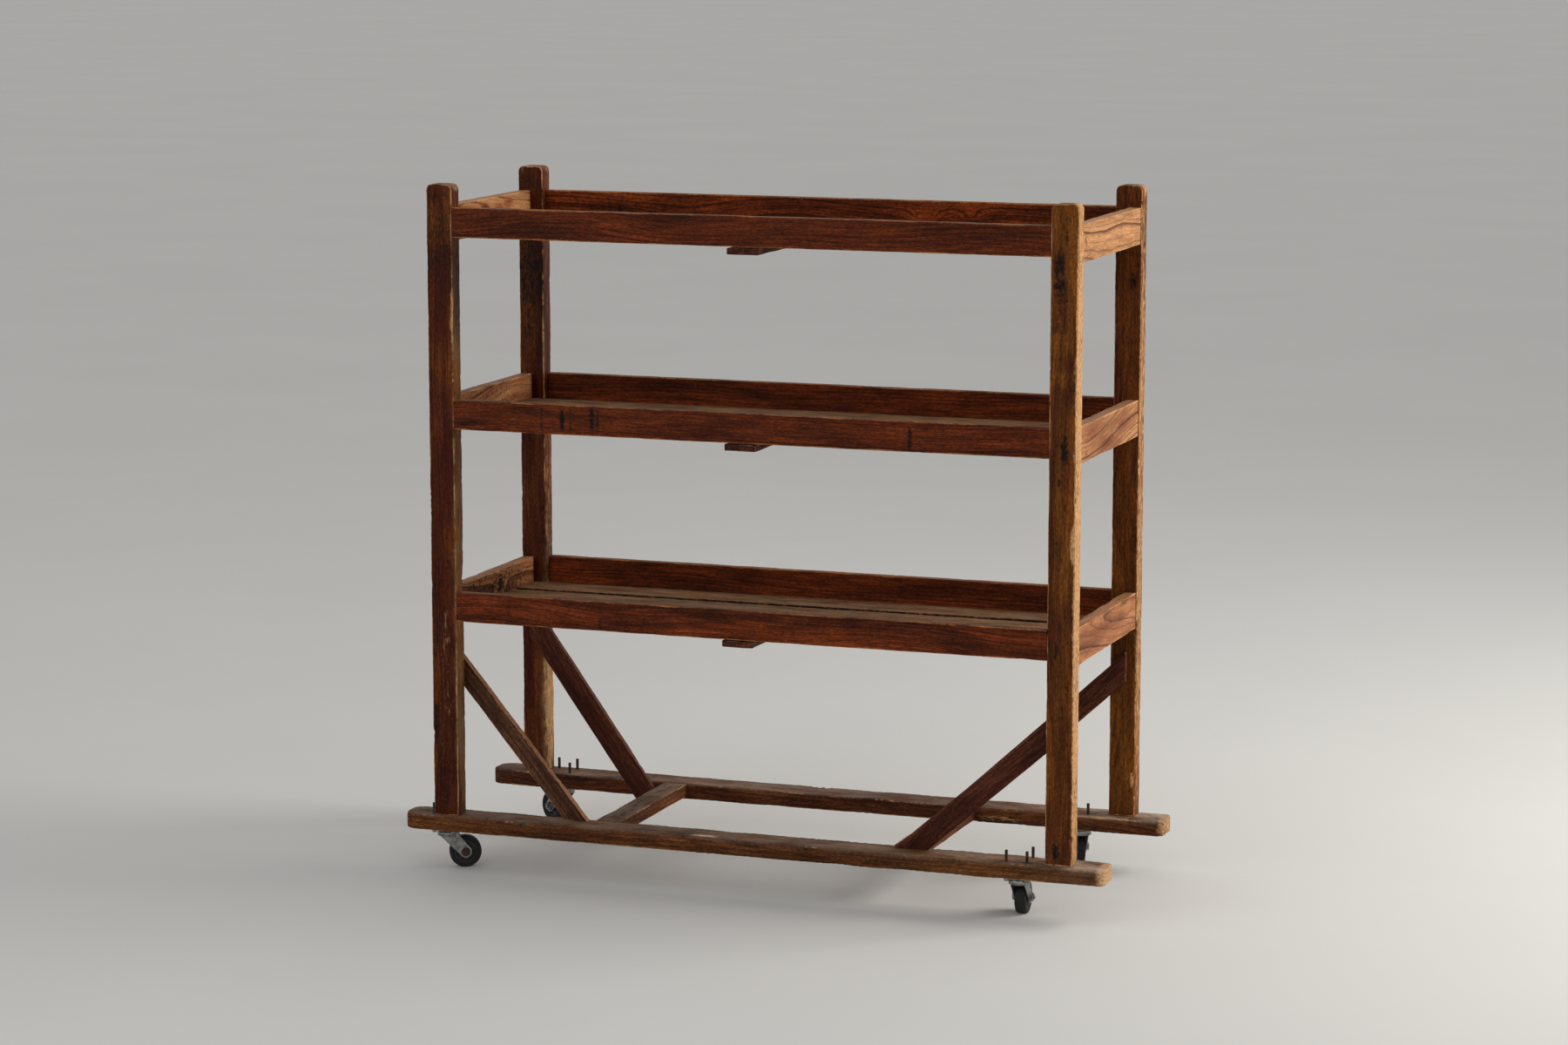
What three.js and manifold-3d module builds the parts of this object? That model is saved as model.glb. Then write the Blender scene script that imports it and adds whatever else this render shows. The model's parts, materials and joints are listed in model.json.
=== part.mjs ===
// Wooden bakery bread rack on four swivel casters: four posts stand on two runners and carry
// three slatted trays, with diagonal braces at the foot of each post.
// Units are millimetres. X runs along the length, Y into the depth and Z up from the floor.
import * as THREE from 'three';
import { mergeVertices } from 'three/addons/utils/BufferGeometryUtils.js';
import Module from 'manifold-3d';

// Fits
const SEAT_GAP = 0.25; // between a face and the face that it bears on
const TENON_CLEARANCE = 0.3; // all round a tenon, a housed slat end or a bolt

// Fineness of the round shapes: sides of a bar, and steps along a quarter arc
const HEX_SIDES = 6;
const BOLT_SIDES = 10;
const PIN_SIDES = 14;
const CROWN_SIDES = 28;
const WHEEL_SIDES = 36;
const ARC_STEPS = 5;
const WELD = 1e-3; // points closer than this are one

// Posts
const FRAME_LENGTH = 1546; // over the outer faces of the posts
const FRAME_DEPTH = 572;
const POST_WIDTH = 62; // along X
const POST_DEPTH = 44; // along Y
const POST_RISE = { front_left: 52, front_right: 47, back_left: 58, back_right: 50 }; // above the top rails
const POST_TOP_RADIUS = 11;
const POST_TENON = { width: 40, depth: 20, length: 24 };

// Trays: heights of the rails' upper edges above the runners
const TRAY_HEIGHT = { top: 1421, middle: 979, bottom: 530 };
const LONG_RAIL_HEIGHT = 69;
const LONG_RAIL_THICKNESS = 22;
const LONG_RAIL_TENON = { thickness: 9, height: 45, length: 34 };
const END_RAIL_HEIGHT = 84;
const END_RAIL_THICKNESS = 28;
const END_RAIL_INSET = 3; // behind the posts' outer faces
const END_RAIL_TENON = { thickness: 12, height: 56, length: 25 };
const SLAT_COUNT = 4;
const SLAT_GAP = 25;
const SLAT_THICKNESS = 12;
const SLAT_DROP = 3; // slat undersides below the long rails' lower edges
const SLAT_HOUSING = 8; // length of the slats' tongues, let into the end rails
const SLAT_TONGUE = 7; // thickness of a tongue, level with the slat's underside
const BEARER_WIDTH = 75;
const BEARER_THICKNESS = 15;
const BEARER_SETBACK = 5; // bearer ends behind the long rails' faces
const BEARER_X = { top: -5, middle: -11, bottom: -18 };

// Runners and the stretchers between them
const RUNNER_PROJECTION = 77; // ends beyond the posts' outer faces
const RUNNER_WIDTH = 84;
const RUNNER_THICKNESS = 37;
const RUNNER_OVERHANG = 11; // outer edge beyond the posts' outer faces
const RUNNER_LEFT_RADIUS = 34;
const RUNNER_RIGHT_RADIUS = 18;
const RUNNER_EDGE = 5; // eased arris
const STRETCHER_INSET = 347; // middle line from the posts' inner faces
const STRETCHER_WIDTH = 60;
const STRETCHER_HEIGHT = 31;
const STRETCHER_TENON = { width: 38, height: 14, length: 22 };

// Braces: where the upper edge meets the runner, measured from the post's inner face, its slope,
// and where the top is sawn off
const BRACE_THICKNESS = 18;
const BRACES = {
  front_left: { reach: 307, slope: 50, width: 44, headMargin: 11 },
  front_right: { reach: 367, slope: 41.3, width: 52, headMargin: 8 },
  back_left: { reach: 287, slope: 53, width: 53, headMargin: 28, lapBelow: 5 },
  back_right: { reach: 385, slope: 42.6, width: 52, headMargin: 21 },
};

// Casters: overall height under the runner, and the inset from the posts' inner faces
const CASTER_HEIGHT = 94;
const CASTER_INSET = { front_right: 67, back_left: 40, back_right: 70 };
const CASTER_TRAIL = 40;
const CASTER_TURN = { front_left: 28, front_right: 94, back_left: 150, back_right: 112 };
const PLATE_SIZE = 60;
const PLATE_THICKNESS = 3;
const PLATE_CORNER = 6;
const RACE_RADIUS = 20;
const RACE_HEIGHT = 2.5;
const RACE_GAP = 0.5;
const BOLT_PITCH = 48;
const BOLT_RADIUS = 3;
const BOLT_HEAD_RADIUS = 5.8;
const BOLT_HEAD_HEIGHT = 4;
const BOLT_RISE = 26; // bolt ends above the runner
const SCREW_WALL = 2; // wood left between a short screw's hole and a post's mortise
const LONG_BOLTS = {
  front_left: ['front_left', 'back_left'],
  front_right: ['front_left', 'front_right', 'back_right'],
  back_left: ['front_right', 'back_left', 'back_right'],
  back_right: ['front_left', 'front_right', 'back_left'],
};
const CROWN_RADIUS = 25;
const CROWN_THICKNESS = 3;
const CROWN_DEPTH = 11; // the crown is a cup, open below
const CROWN_WALL = 2.5;
const KINGPIN_RADIUS = 5;
const KINGPIN_CLEARANCE = 0.4;
const LEG_THICKNESS = 2.5;
const LEG_BOSS_RADIUS = 14;
const WHEEL_RADIUS = 37.5;
const TYRE_WIDTH = 26;
const TYRE_DEPTH = 11.5;
const TYRE_SHOULDER = 4;
const HUB_WIDTH = 28;
const HUB_BOSS_RADIUS = 9.5;
const HUB_RIM = 4; // thickness of the hub's rim
const HUB_RIM_RECESS = 2; // rim edges inside the tyre's sides
const HUB_WEB = 9;
const HUB_SIDE_GAP = 0.6;
const AXLE_RADIUS = 5;
const AXLE_CLEARANCE = 0.35;
const AXLE_HEAD_RADIUS = 9.8;
const AXLE_HEAD_HEIGHT = 6.5;
const AXLE_TAIL = 3.5; // thread beyond the nut

// Places worked out from the sizes above
const HALF_LENGTH = FRAME_LENGTH / 2;
const HALF_DEPTH = FRAME_DEPTH / 2;
const POST_INNER_X = HALF_LENGTH - POST_WIDTH;
const POST_INNER_Y = HALF_DEPTH - POST_DEPTH;
const RUNNER_TOP = CASTER_HEIGHT + RUNNER_THICKNESS;
const RUNNER_LENGTH = FRAME_LENGTH + 2 * RUNNER_PROJECTION;
const RUNNER_Y = HALF_DEPTH + RUNNER_OVERHANG - RUNNER_WIDTH / 2;
const RUNNER_INNER_Y = RUNNER_Y - RUNNER_WIDTH / 2;
const STRETCHER_X = POST_INNER_X - STRETCHER_INSET;
const SCREW_DEPTH = RUNNER_THICKNESS - POST_TENON.length - SCREW_WALL;
const SLAT_WIDTH = (2 * (POST_INNER_Y - SEAT_GAP) - (SLAT_COUNT - 1) * SLAT_GAP) / SLAT_COUNT;
const END_RAIL_INNER_X = HALF_LENGTH - END_RAIL_INSET - END_RAIL_THICKNESS;
const LEG_INNER_Y = HUB_WIDTH / 2 + HUB_SIDE_GAP;
const LEG_OUTER_Y = LEG_INNER_Y + LEG_THICKNESS;
const AXLE_Z = WHEEL_RADIUS - CASTER_HEIGHT; // below the plate's upper face
const CROWN_TOP = -PLATE_THICKNESS - RACE_HEIGHT - RACE_GAP;

const WOOD = {
  post: { color: 0x6b3a1c, roughness: 0.6, metalness: 0 },
  rail: { color: 0x5a2412, roughness: 0.55, metalness: 0 },
  endRail: { color: 0x8a4a22, roughness: 0.6, metalness: 0 },
  slat: { color: 0x5e4433, roughness: 0.8, metalness: 0 },
  runner: { color: 0x6e4522, roughness: 0.75, metalness: 0 },
  brace: { color: 0x4a2216, roughness: 0.65, metalness: 0 },
};
const ZINC = { color: 0x9a9b98, roughness: 0.45, metalness: 0.9 };
const RUBBER = { color: 0x151516, roughness: 0.8, metalness: 0 };
const HUB_GREY = { color: 0x55575a, roughness: 0.5, metalness: 0.2 };

const wasm = await Module();
wasm.setup();

// A closed geometry as a solid that can be joined and cut.
function solid(geometry) {
  const bare = new THREE.BufferGeometry();
  bare.setAttribute('position', geometry.getAttribute('position'));
  bare.setIndex(geometry.index);
  const merged = mergeVertices(bare, WELD);
  const mesh = new wasm.Mesh({
    numProp: 3,
    vertProperties: merged.attributes.position.array,
    triVerts: new Uint32Array(merged.index.array),
  });
  return new wasm.Manifold(mesh);
}

// A named mesh with a material of its own, from a geometry or from a solid.
function piece(name, shape, finish) {
  let geometry = shape;
  if (!shape.isBufferGeometry) {
    const mesh = shape.getMesh();
    geometry = new THREE.BufferGeometry();
    geometry.setAttribute('position', new THREE.BufferAttribute(mesh.vertProperties, 3));
    geometry.setIndex(new THREE.BufferAttribute(mesh.triVerts, 1));
    geometry.computeVertexNormals();
  }
  const made = new THREE.Mesh(geometry, new THREE.MeshStandardMaterial(finish));
  made.name = name;
  return made;
}

// A box by its centre in X and Y, its lower face and its sizes.
function block(x, y, bottom, width, depth, height) {
  return solid(new THREE.BoxGeometry(width, depth, height).translate(x, y, bottom + height / 2));
}

// An upright round or many-sided bar.
function upright(radius, x, y, bottom, top, sides) {
  const bar = new THREE.CylinderGeometry(radius, radius, top - bottom, sides);
  return solid(bar.rotateX(Math.PI / 2).translate(x, y, (bottom + top) / 2));
}

// A bar along Y, such as an axle.
function crossbar(radius, x, z, from, to, sides) {
  const bar = new THREE.CylinderGeometry(radius, radius, to - from, sides);
  return solid(bar.translate(x, (from + to) / 2, z));
}

// An outline drawn in X and Z, given a thickness along Y from one face to the other.
function slab(outline, from, to) {
  const plate = new THREE.ExtrudeGeometry(outline, {
    depth: to - from,
    bevelEnabled: false,
    curveSegments: ARC_STEPS,
  });
  return solid(plate.rotateX(Math.PI / 2).translate(0, to, 0));
}

// A rectangle with two upper corners rounded, standing on the first axis.
function roundTopped(width, height, radius) {
  const half = width / 2;
  const outline = new THREE.Shape();
  outline.moveTo(-half, 0);
  outline.lineTo(half, 0);
  outline.lineTo(half, height - radius);
  outline.absarc(half - radius, height - radius, radius, 0, Math.PI / 2, false);
  outline.absarc(-half + radius, height - radius, radius, Math.PI / 2, Math.PI, false);
  outline.closePath();
  return outline;
}

// A rectangle with a corner radius for its left end and one for its right end.
function roundEnded(length, width, leftRadius, rightRadius) {
  const x = length / 2;
  const y = width / 2;
  const outline = new THREE.Shape();
  outline.absarc(x - rightRadius, -y + rightRadius, rightRadius, -Math.PI / 2, 0, false);
  outline.absarc(x - rightRadius, y - rightRadius, rightRadius, 0, Math.PI / 2, false);
  outline.absarc(-x + leftRadius, y - leftRadius, leftRadius, Math.PI / 2, Math.PI, false);
  outline.absarc(-x + leftRadius, -y + leftRadius, leftRadius, Math.PI, 1.5 * Math.PI, false);
  outline.closePath();
  return outline;
}

const ENDS = { left: -1, right: 1 };
const SIDES = { front: -1, back: 1 };
const CORNERS = ['front_left', 'front_right', 'back_left', 'back_right'];

// Signs of a corner's X and Y.
function cornerSigns(corner) {
  const [side, end] = corner.split('_');
  return [ENDS[end], SIDES[side]];
}

const longRailZ = (tray) => RUNNER_TOP + TRAY_HEIGHT[tray] - LONG_RAIL_HEIGHT / 2;
const endRailZ = (tray) => RUNNER_TOP + TRAY_HEIGHT[tray] - END_RAIL_HEIGHT / 2;
const slatBottom = (tray) => RUNNER_TOP + TRAY_HEIGHT[tray] - LONG_RAIL_HEIGHT - SLAT_DROP;
const slatY = (index) => (index - (SLAT_COUNT - 1) / 2) * (SLAT_WIDTH + SLAT_GAP);

// A post, rounded over at the top both ways, tenoned into its runner and mortised for its rails.
function post(corner) {
  const [end, side] = cornerSigns(corner);
  const height = TRAY_HEIGHT.top + POST_RISE[corner] - SEAT_GAP;
  const face = slab(roundTopped(POST_WIDTH, height, POST_TOP_RADIUS), -POST_DEPTH / 2, POST_DEPTH / 2);
  const edge = new THREE.ExtrudeGeometry(roundTopped(POST_DEPTH, height, POST_TOP_RADIUS), {
    depth: POST_WIDTH,
    bevelEnabled: false,
    curveSegments: ARC_STEPS,
  });
  edge.rotateX(Math.PI / 2).rotateZ(Math.PI / 2).translate(-POST_WIDTH / 2, 0, 0);
  const tenonLength = POST_TENON.length + SEAT_GAP;
  const tenon = block(0, 0, -tenonLength, POST_TENON.width, POST_TENON.depth, tenonLength + SEAT_GAP);
  let shape = face.intersect(solid(edge)).add(tenon);
  const base = RUNNER_TOP + SEAT_GAP;
  for (const tray of Object.keys(TRAY_HEIGHT)) {
    const longLength = LONG_RAIL_TENON.length + 2 * TENON_CLEARANCE;
    const longHeight = LONG_RAIL_TENON.height + 2 * TENON_CLEARANCE;
    const longMortise = block(
      -end * (POST_WIDTH - longLength) / 2,
      side * (POST_DEPTH - LONG_RAIL_THICKNESS) / 2,
      longRailZ(tray) - base - longHeight / 2,
      longLength,
      LONG_RAIL_TENON.thickness + 2 * TENON_CLEARANCE,
      longHeight,
    );
    const endLength = END_RAIL_TENON.length + 2 * TENON_CLEARANCE;
    const endHeight = END_RAIL_TENON.height + 2 * TENON_CLEARANCE;
    const endMortise = block(
      end * (POST_WIDTH / 2 - END_RAIL_INSET - END_RAIL_THICKNESS / 2),
      -side * (POST_DEPTH - endLength) / 2,
      endRailZ(tray) - base - endHeight / 2,
      END_RAIL_TENON.thickness + 2 * TENON_CLEARANCE,
      endLength,
      endHeight,
    );
    shape = shape.subtract(longMortise).subtract(endMortise);
  }
  const mesh = piece(`post_${corner}`, shape, WOOD.post);
  mesh.position.set(end * (HALF_LENGTH - POST_WIDTH / 2), side * (HALF_DEPTH - POST_DEPTH / 2), base);
  return mesh;
}

// A long rail between two posts, flush with their outer faces.
function longRail(side, tray) {
  const length = 2 * (POST_INNER_X - SEAT_GAP);
  const height = LONG_RAIL_HEIGHT;
  const tenonSpan = 2 * (POST_INNER_X + LONG_RAIL_TENON.length);
  const body = block(0, 0, -height / 2, length, LONG_RAIL_THICKNESS, height);
  const tenonHeight = LONG_RAIL_TENON.height;
  const tenons = block(0, 0, -tenonHeight / 2, tenonSpan, LONG_RAIL_TENON.thickness, tenonHeight);
  const mesh = piece(`${side}_rail_${tray}`, body.add(tenons), WOOD.rail);
  mesh.position.set(0, SIDES[side] * (HALF_DEPTH - LONG_RAIL_THICKNESS / 2), longRailZ(tray));
  return mesh;
}

// An end rail between a front and a back post, with a housing for each slat in its inner face.
function endRail(end, tray) {
  const depth = 2 * (POST_INNER_Y - SEAT_GAP);
  const height = END_RAIL_HEIGHT;
  const tenonSpan = 2 * (POST_INNER_Y + END_RAIL_TENON.length);
  const tenonHeight = END_RAIL_TENON.height;
  const body = block(0, 0, -height / 2, END_RAIL_THICKNESS, depth, height);
  let shape = body.add(block(0, 0, -tenonHeight / 2, END_RAIL_TENON.thickness, tenonSpan, tenonHeight));
  const housing = SLAT_HOUSING + TENON_CLEARANCE;
  for (let index = 0; index < SLAT_COUNT; index += 1) {
    const slot = block(
      -ENDS[end] * (END_RAIL_THICKNESS - housing) / 2,
      slatY(index),
      slatBottom(tray) - endRailZ(tray) - SEAT_GAP,
      housing,
      SLAT_WIDTH + 2 * TENON_CLEARANCE,
      SLAT_TONGUE + SEAT_GAP + TENON_CLEARANCE,
    );
    shape = shape.subtract(slot);
  }
  const mesh = piece(`end_rail_${end}_${tray}`, shape, WOOD.endRail);
  mesh.position.set(ENDS[end] * (END_RAIL_INNER_X + END_RAIL_THICKNESS / 2), 0, endRailZ(tray));
  return mesh;
}

// A shelf slat, with a tongue at each end housed in an end rail.
function slat(tray, index) {
  const length = 2 * (END_RAIL_INNER_X - SEAT_GAP);
  const tongueSpan = 2 * (END_RAIL_INNER_X + SLAT_HOUSING);
  const body = block(0, 0, 0, length, SLAT_WIDTH, SLAT_THICKNESS);
  const tongues = block(0, 0, 0, tongueSpan, SLAT_WIDTH, SLAT_TONGUE);
  const mesh = piece(`slat_${tray}_${index + 1}`, body.add(tongues), WOOD.slat);
  mesh.position.set(0, slatY(index), slatBottom(tray));
  return mesh;
}

// The batten across the middle of a tray, under its slats.
function bearer(tray) {
  const depth = 2 * (HALF_DEPTH - BEARER_SETBACK);
  const board = new THREE.BoxGeometry(BEARER_WIDTH, depth, BEARER_THICKNESS);
  const mesh = piece(`bearer_${tray}`, board, WOOD.brace);
  mesh.position.set(BEARER_X[tray], 0, slatBottom(tray) - SEAT_GAP - BEARER_THICKNESS / 2);
  return mesh;
}

// Where a caster's swivel axis stands. The front left one has its outer bolts just past the post.
function casterX(corner) {
  const [end] = cornerSigns(corner);
  if (corner in CASTER_INSET) {
    return end * (POST_INNER_X - CASTER_INSET[corner]);
  }
  return end * (HALF_LENGTH + BOLT_RADIUS + 2 * SEAT_GAP - BOLT_PITCH / 2);
}

// A runner with eased edges, mortised for its posts and stretchers and drilled for the casters.
function runner(side) {
  const edge = RUNNER_EDGE;
  const outline = roundEnded(
    RUNNER_LENGTH - 2 * edge,
    RUNNER_WIDTH - 2 * edge,
    RUNNER_LEFT_RADIUS - edge,
    RUNNER_RIGHT_RADIUS - edge,
  );
  const plank = new THREE.ExtrudeGeometry(outline, {
    depth: RUNNER_THICKNESS - 2 * edge,
    bevelSize: edge,
    bevelThickness: edge,
    bevelSegments: 2,
    curveSegments: ARC_STEPS,
  });
  let shape = solid(plank.translate(0, 0, edge));
  for (const end of Object.values(ENDS)) {
    const mortiseDepth = POST_TENON.length + TENON_CLEARANCE;
    const postMortise = block(
      end * (HALF_LENGTH - POST_WIDTH / 2),
      SIDES[side] * (HALF_DEPTH - POST_DEPTH / 2 - RUNNER_Y),
      RUNNER_THICKNESS - mortiseDepth,
      POST_TENON.width + 2 * TENON_CLEARANCE,
      POST_TENON.depth + 2 * TENON_CLEARANCE,
      mortiseDepth + edge,
    );
    const sideMortiseLength = STRETCHER_TENON.length + TENON_CLEARANCE;
    const sideMortiseHeight = STRETCHER_TENON.height + 2 * TENON_CLEARANCE;
    const sideMortise = block(
      end * STRETCHER_X,
      -SIDES[side] * (RUNNER_WIDTH - sideMortiseLength + edge) / 2,
      RUNNER_THICKNESS - STRETCHER_HEIGHT / 2 - sideMortiseHeight / 2,
      STRETCHER_TENON.width + 2 * TENON_CLEARANCE,
      sideMortiseLength + edge,
      sideMortiseHeight,
    );
    shape = shape.subtract(postMortise).subtract(sideMortise);
  }
  for (const end of Object.keys(ENDS)) {
    const corner = `${side}_${end}`;
    for (const spot of CORNERS) {
      const [right, back] = cornerSigns(spot);
      const depth = LONG_BOLTS[corner].includes(spot) ? RUNNER_THICKNESS + edge : SCREW_DEPTH + SEAT_GAP;
      const x = casterX(corner) + right * BOLT_PITCH / 2;
      const y = back * BOLT_PITCH / 2;
      shape = shape.subtract(upright(BOLT_RADIUS + TENON_CLEARANCE, x, y, -edge, depth, BOLT_SIDES));
    }
  }
  const mesh = piece(`runner_${side}`, shape, WOOD.runner);
  mesh.position.set(0, SIDES[side] * RUNNER_Y, CASTER_HEIGHT);
  return mesh;
}

// A stretcher tenoned between the runners, with its top level with theirs.
function stretcher(end) {
  const depth = 2 * (RUNNER_INNER_Y - SEAT_GAP);
  const tenonSpan = 2 * (RUNNER_INNER_Y + STRETCHER_TENON.length);
  const { width, height } = STRETCHER_TENON;
  const body = block(0, 0, -STRETCHER_HEIGHT / 2, STRETCHER_WIDTH, depth, STRETCHER_HEIGHT);
  const shape = body.add(block(0, 0, -height / 2, width, tenonSpan, height));
  const mesh = piece(`stretcher_${end}`, shape, WOOD.runner);
  mesh.position.set(ENDS[end] * STRETCHER_X, 0, RUNNER_TOP - STRETCHER_HEIGHT / 2);
  return mesh;
}

// A brace from a post's inner face down to its runner. One that laps the runner's inner edge leans
// from the post's face to that edge. The others stand on the runner's top.
function brace(corner) {
  const [end, side] = cornerSigns(corner);
  const { reach, slope, width, headMargin, lapBelow } = BRACES[corner];
  const foot = POST_INNER_X - reach;
  const rise = Math.tan(slope * Math.PI / 180);
  const run = width / Math.sin(slope * Math.PI / 180);
  const head = HALF_LENGTH - headMargin;
  const laps = lapBelow !== undefined;
  const toe = laps ? -RUNNER_THICKNESS - lapBelow : SEAT_GAP;
  const headTop = (head - foot) * rise;
  const outline = new THREE.Shape([
    new THREE.Vector2(end * (foot + toe / rise), toe),
    new THREE.Vector2(end * (foot + run + toe / rise), toe),
    new THREE.Vector2(end * head, headTop - run * rise),
    new THREE.Vector2(end * head, headTop),
  ]);
  const board = new THREE.ExtrudeGeometry(outline, { depth: BRACE_THICKNESS, bevelEnabled: false });
  board.rotateX(Math.PI / 2);
  if (side < 0) {
    board.translate(0, BRACE_THICKNESS, 0);
  }
  const mesh = piece(`brace_${corner}`, board, WOOD.brace);
  const seatY = laps ? RUNNER_INNER_Y : POST_INNER_Y;
  mesh.position.set(0, side * (seatY - TENON_CLEARANCE), RUNNER_TOP);
  if (laps) {
    mesh.rotation.x = -side * Math.atan2(POST_INNER_Y - RUNNER_INNER_Y, headTop);
  }
  return mesh;
}

// A caster's plate with its bearing race, and its bolts standing up through the runner.
function casterPlate(corner) {
  const outline = roundEnded(PLATE_SIZE, PLATE_SIZE, PLATE_CORNER, PLATE_CORNER);
  const sheet = new THREE.ExtrudeGeometry(outline, {
    depth: PLATE_THICKNESS,
    bevelEnabled: false,
    curveSegments: ARC_STEPS,
  });
  let shape = solid(sheet.translate(0, 0, -PLATE_THICKNESS - SEAT_GAP));
  const bottom = -PLATE_THICKNESS - SEAT_GAP;
  const raceBottom = bottom - RACE_HEIGHT + SEAT_GAP;
  shape = shape.add(upright(RACE_RADIUS, 0, 0, raceBottom, bottom + SEAT_GAP, CROWN_SIDES));
  const hole = upright(KINGPIN_RADIUS + KINGPIN_CLEARANCE, 0, 0, CROWN_TOP, PLATE_THICKNESS, PIN_SIDES);
  shape = shape.subtract(hole);
  for (const spot of CORNERS) {
    const [right, back] = cornerSigns(spot);
    const x = right * BOLT_PITCH / 2;
    const y = back * BOLT_PITCH / 2;
    const tip = LONG_BOLTS[corner].includes(spot) ? RUNNER_THICKNESS + BOLT_RISE : SCREW_DEPTH;
    shape = shape.add(upright(BOLT_RADIUS, x, y, bottom, tip, BOLT_SIDES));
    const headBottom = bottom - BOLT_HEAD_HEIGHT;
    shape = shape.add(upright(BOLT_HEAD_RADIUS, x, y, headBottom, bottom + SEAT_GAP, HEX_SIDES));
  }
  return piece(`caster_plate_${corner}`, shape, ZINC);
}

// The point where a line from a given point touches the leg's round boss, on one side of it.
function tangentPoint(from, centre, radius, side) {
  const away = new THREE.Vector2().subVectors(from, centre);
  const turn = Math.atan2(away.y, away.x) + side * Math.acos(radius / away.length());
  return new THREE.Vector2(centre.x + radius * Math.cos(turn), centre.y + radius * Math.sin(turn));
}

// A pressed swivel fork: a round cup for a crown, its kingpin, and two tapered legs to the axle.
function casterFork(corner) {
  const crownBottom = CROWN_TOP - CROWN_THICKNESS;
  const rimBottom = CROWN_TOP - CROWN_DEPTH;
  const hollow = upright(CROWN_RADIUS - CROWN_WALL, 0, 0, rimBottom - SEAT_GAP, crownBottom, CROWN_SIDES);
  let shape = upright(CROWN_RADIUS, 0, 0, rimBottom, CROWN_TOP, CROWN_SIDES).subtract(hollow);
  shape = shape.add(upright(KINGPIN_RADIUS, 0, 0, crownBottom, -SEAT_GAP - RACE_GAP, PIN_SIDES));
  const reach = Math.sqrt(CROWN_RADIUS ** 2 - LEG_OUTER_Y ** 2);
  const legTop = CROWN_TOP - CROWN_THICKNESS / 2;
  const axle = new THREE.Vector2(CASTER_TRAIL, AXLE_Z);
  const frontRoot = new THREE.Vector2(reach, legTop);
  const backRoot = new THREE.Vector2(-reach, rimBottom);
  const frontTouch = tangentPoint(frontRoot, axle, LEG_BOSS_RADIUS, -1);
  const backTouch = tangentPoint(backRoot, axle, LEG_BOSS_RADIUS, 1);
  const fromAngle = Math.atan2(frontTouch.y - axle.y, frontTouch.x - axle.x);
  const toAngle = Math.atan2(backTouch.y - axle.y, backTouch.x - axle.x);
  const outline = new THREE.Shape();
  outline.moveTo(-reach, legTop);
  outline.lineTo(frontRoot.x, frontRoot.y);
  outline.absarc(axle.x, axle.y, LEG_BOSS_RADIUS, fromAngle, toAngle, true);
  outline.lineTo(backRoot.x, backRoot.y);
  outline.closePath();
  for (const side of [-1, 1]) {
    const [from, to] = side < 0 ? [-LEG_OUTER_Y, -LEG_INNER_Y] : [LEG_INNER_Y, LEG_OUTER_Y];
    shape = shape.add(slab(outline, from, to));
  }
  const boreEnd = LEG_OUTER_Y + LEG_THICKNESS;
  const bore = crossbar(AXLE_RADIUS + AXLE_CLEARANCE, CASTER_TRAIL, AXLE_Z, -boreEnd, boreEnd, PIN_SIDES);
  return piece(`caster_fork_${corner}`, shape.subtract(bore), ZINC);
}

// The wheel's axle: a bolt through both legs, with its head on one side and a nut on the other.
function casterAxle(corner) {
  const seat = LEG_OUTER_Y + SEAT_GAP;
  const head = crossbar(AXLE_HEAD_RADIUS, 0, 0, -seat - AXLE_HEAD_HEIGHT, -seat, HEX_SIDES);
  const nut = crossbar(AXLE_HEAD_RADIUS, 0, 0, seat, seat + AXLE_HEAD_HEIGHT, HEX_SIDES);
  const tail = seat + AXLE_HEAD_HEIGHT + AXLE_TAIL;
  const shank = crossbar(AXLE_RADIUS, 0, 0, -seat - SEAT_GAP, tail, PIN_SIDES);
  const mesh = piece(`caster_axle_${corner}`, shank.add(head).add(nut), ZINC);
  const [, side] = cornerSigns(corner);
  if (side < 0) {
    mesh.rotation.z = Math.PI; // the front casters have their nut on the other side
  }
  return mesh;
}

// A closed profile of radius and width points turned about the axle, with a flat at the bottom.
function turned(profile) {
  const flat = Math.cos(Math.PI / WHEEL_SIDES);
  const points = profile.map(([radius, y]) => new THREE.Vector2(radius / flat, y));
  points.push(points[0].clone());
  return new THREE.LatheGeometry(points, WHEEL_SIDES, Math.PI / WHEEL_SIDES, 2 * Math.PI);
}

// The wheel's hub: a bored boss, a thinner web and a rim that carries the tyre.
function wheelHub(corner) {
  const bore = AXLE_RADIUS + AXLE_CLEARANCE;
  const rim = WHEEL_RADIUS - TYRE_DEPTH - SEAT_GAP;
  const boss = HUB_WIDTH / 2;
  const edge = TYRE_WIDTH / 2 - HUB_RIM_RECESS;
  const web = HUB_WEB / 2;
  const profile = [
    [bore, -boss],
    [HUB_BOSS_RADIUS, -boss],
    [HUB_BOSS_RADIUS, -web],
    [rim - HUB_RIM, -web],
    [rim - HUB_RIM, -edge],
    [rim, -edge],
    [rim, edge],
    [rim - HUB_RIM, edge],
    [rim - HUB_RIM, web],
    [HUB_BOSS_RADIUS, web],
    [HUB_BOSS_RADIUS, boss],
    [bore, boss],
  ];
  return piece(`wheel_hub_${corner}`, turned(profile), HUB_GREY);
}

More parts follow.
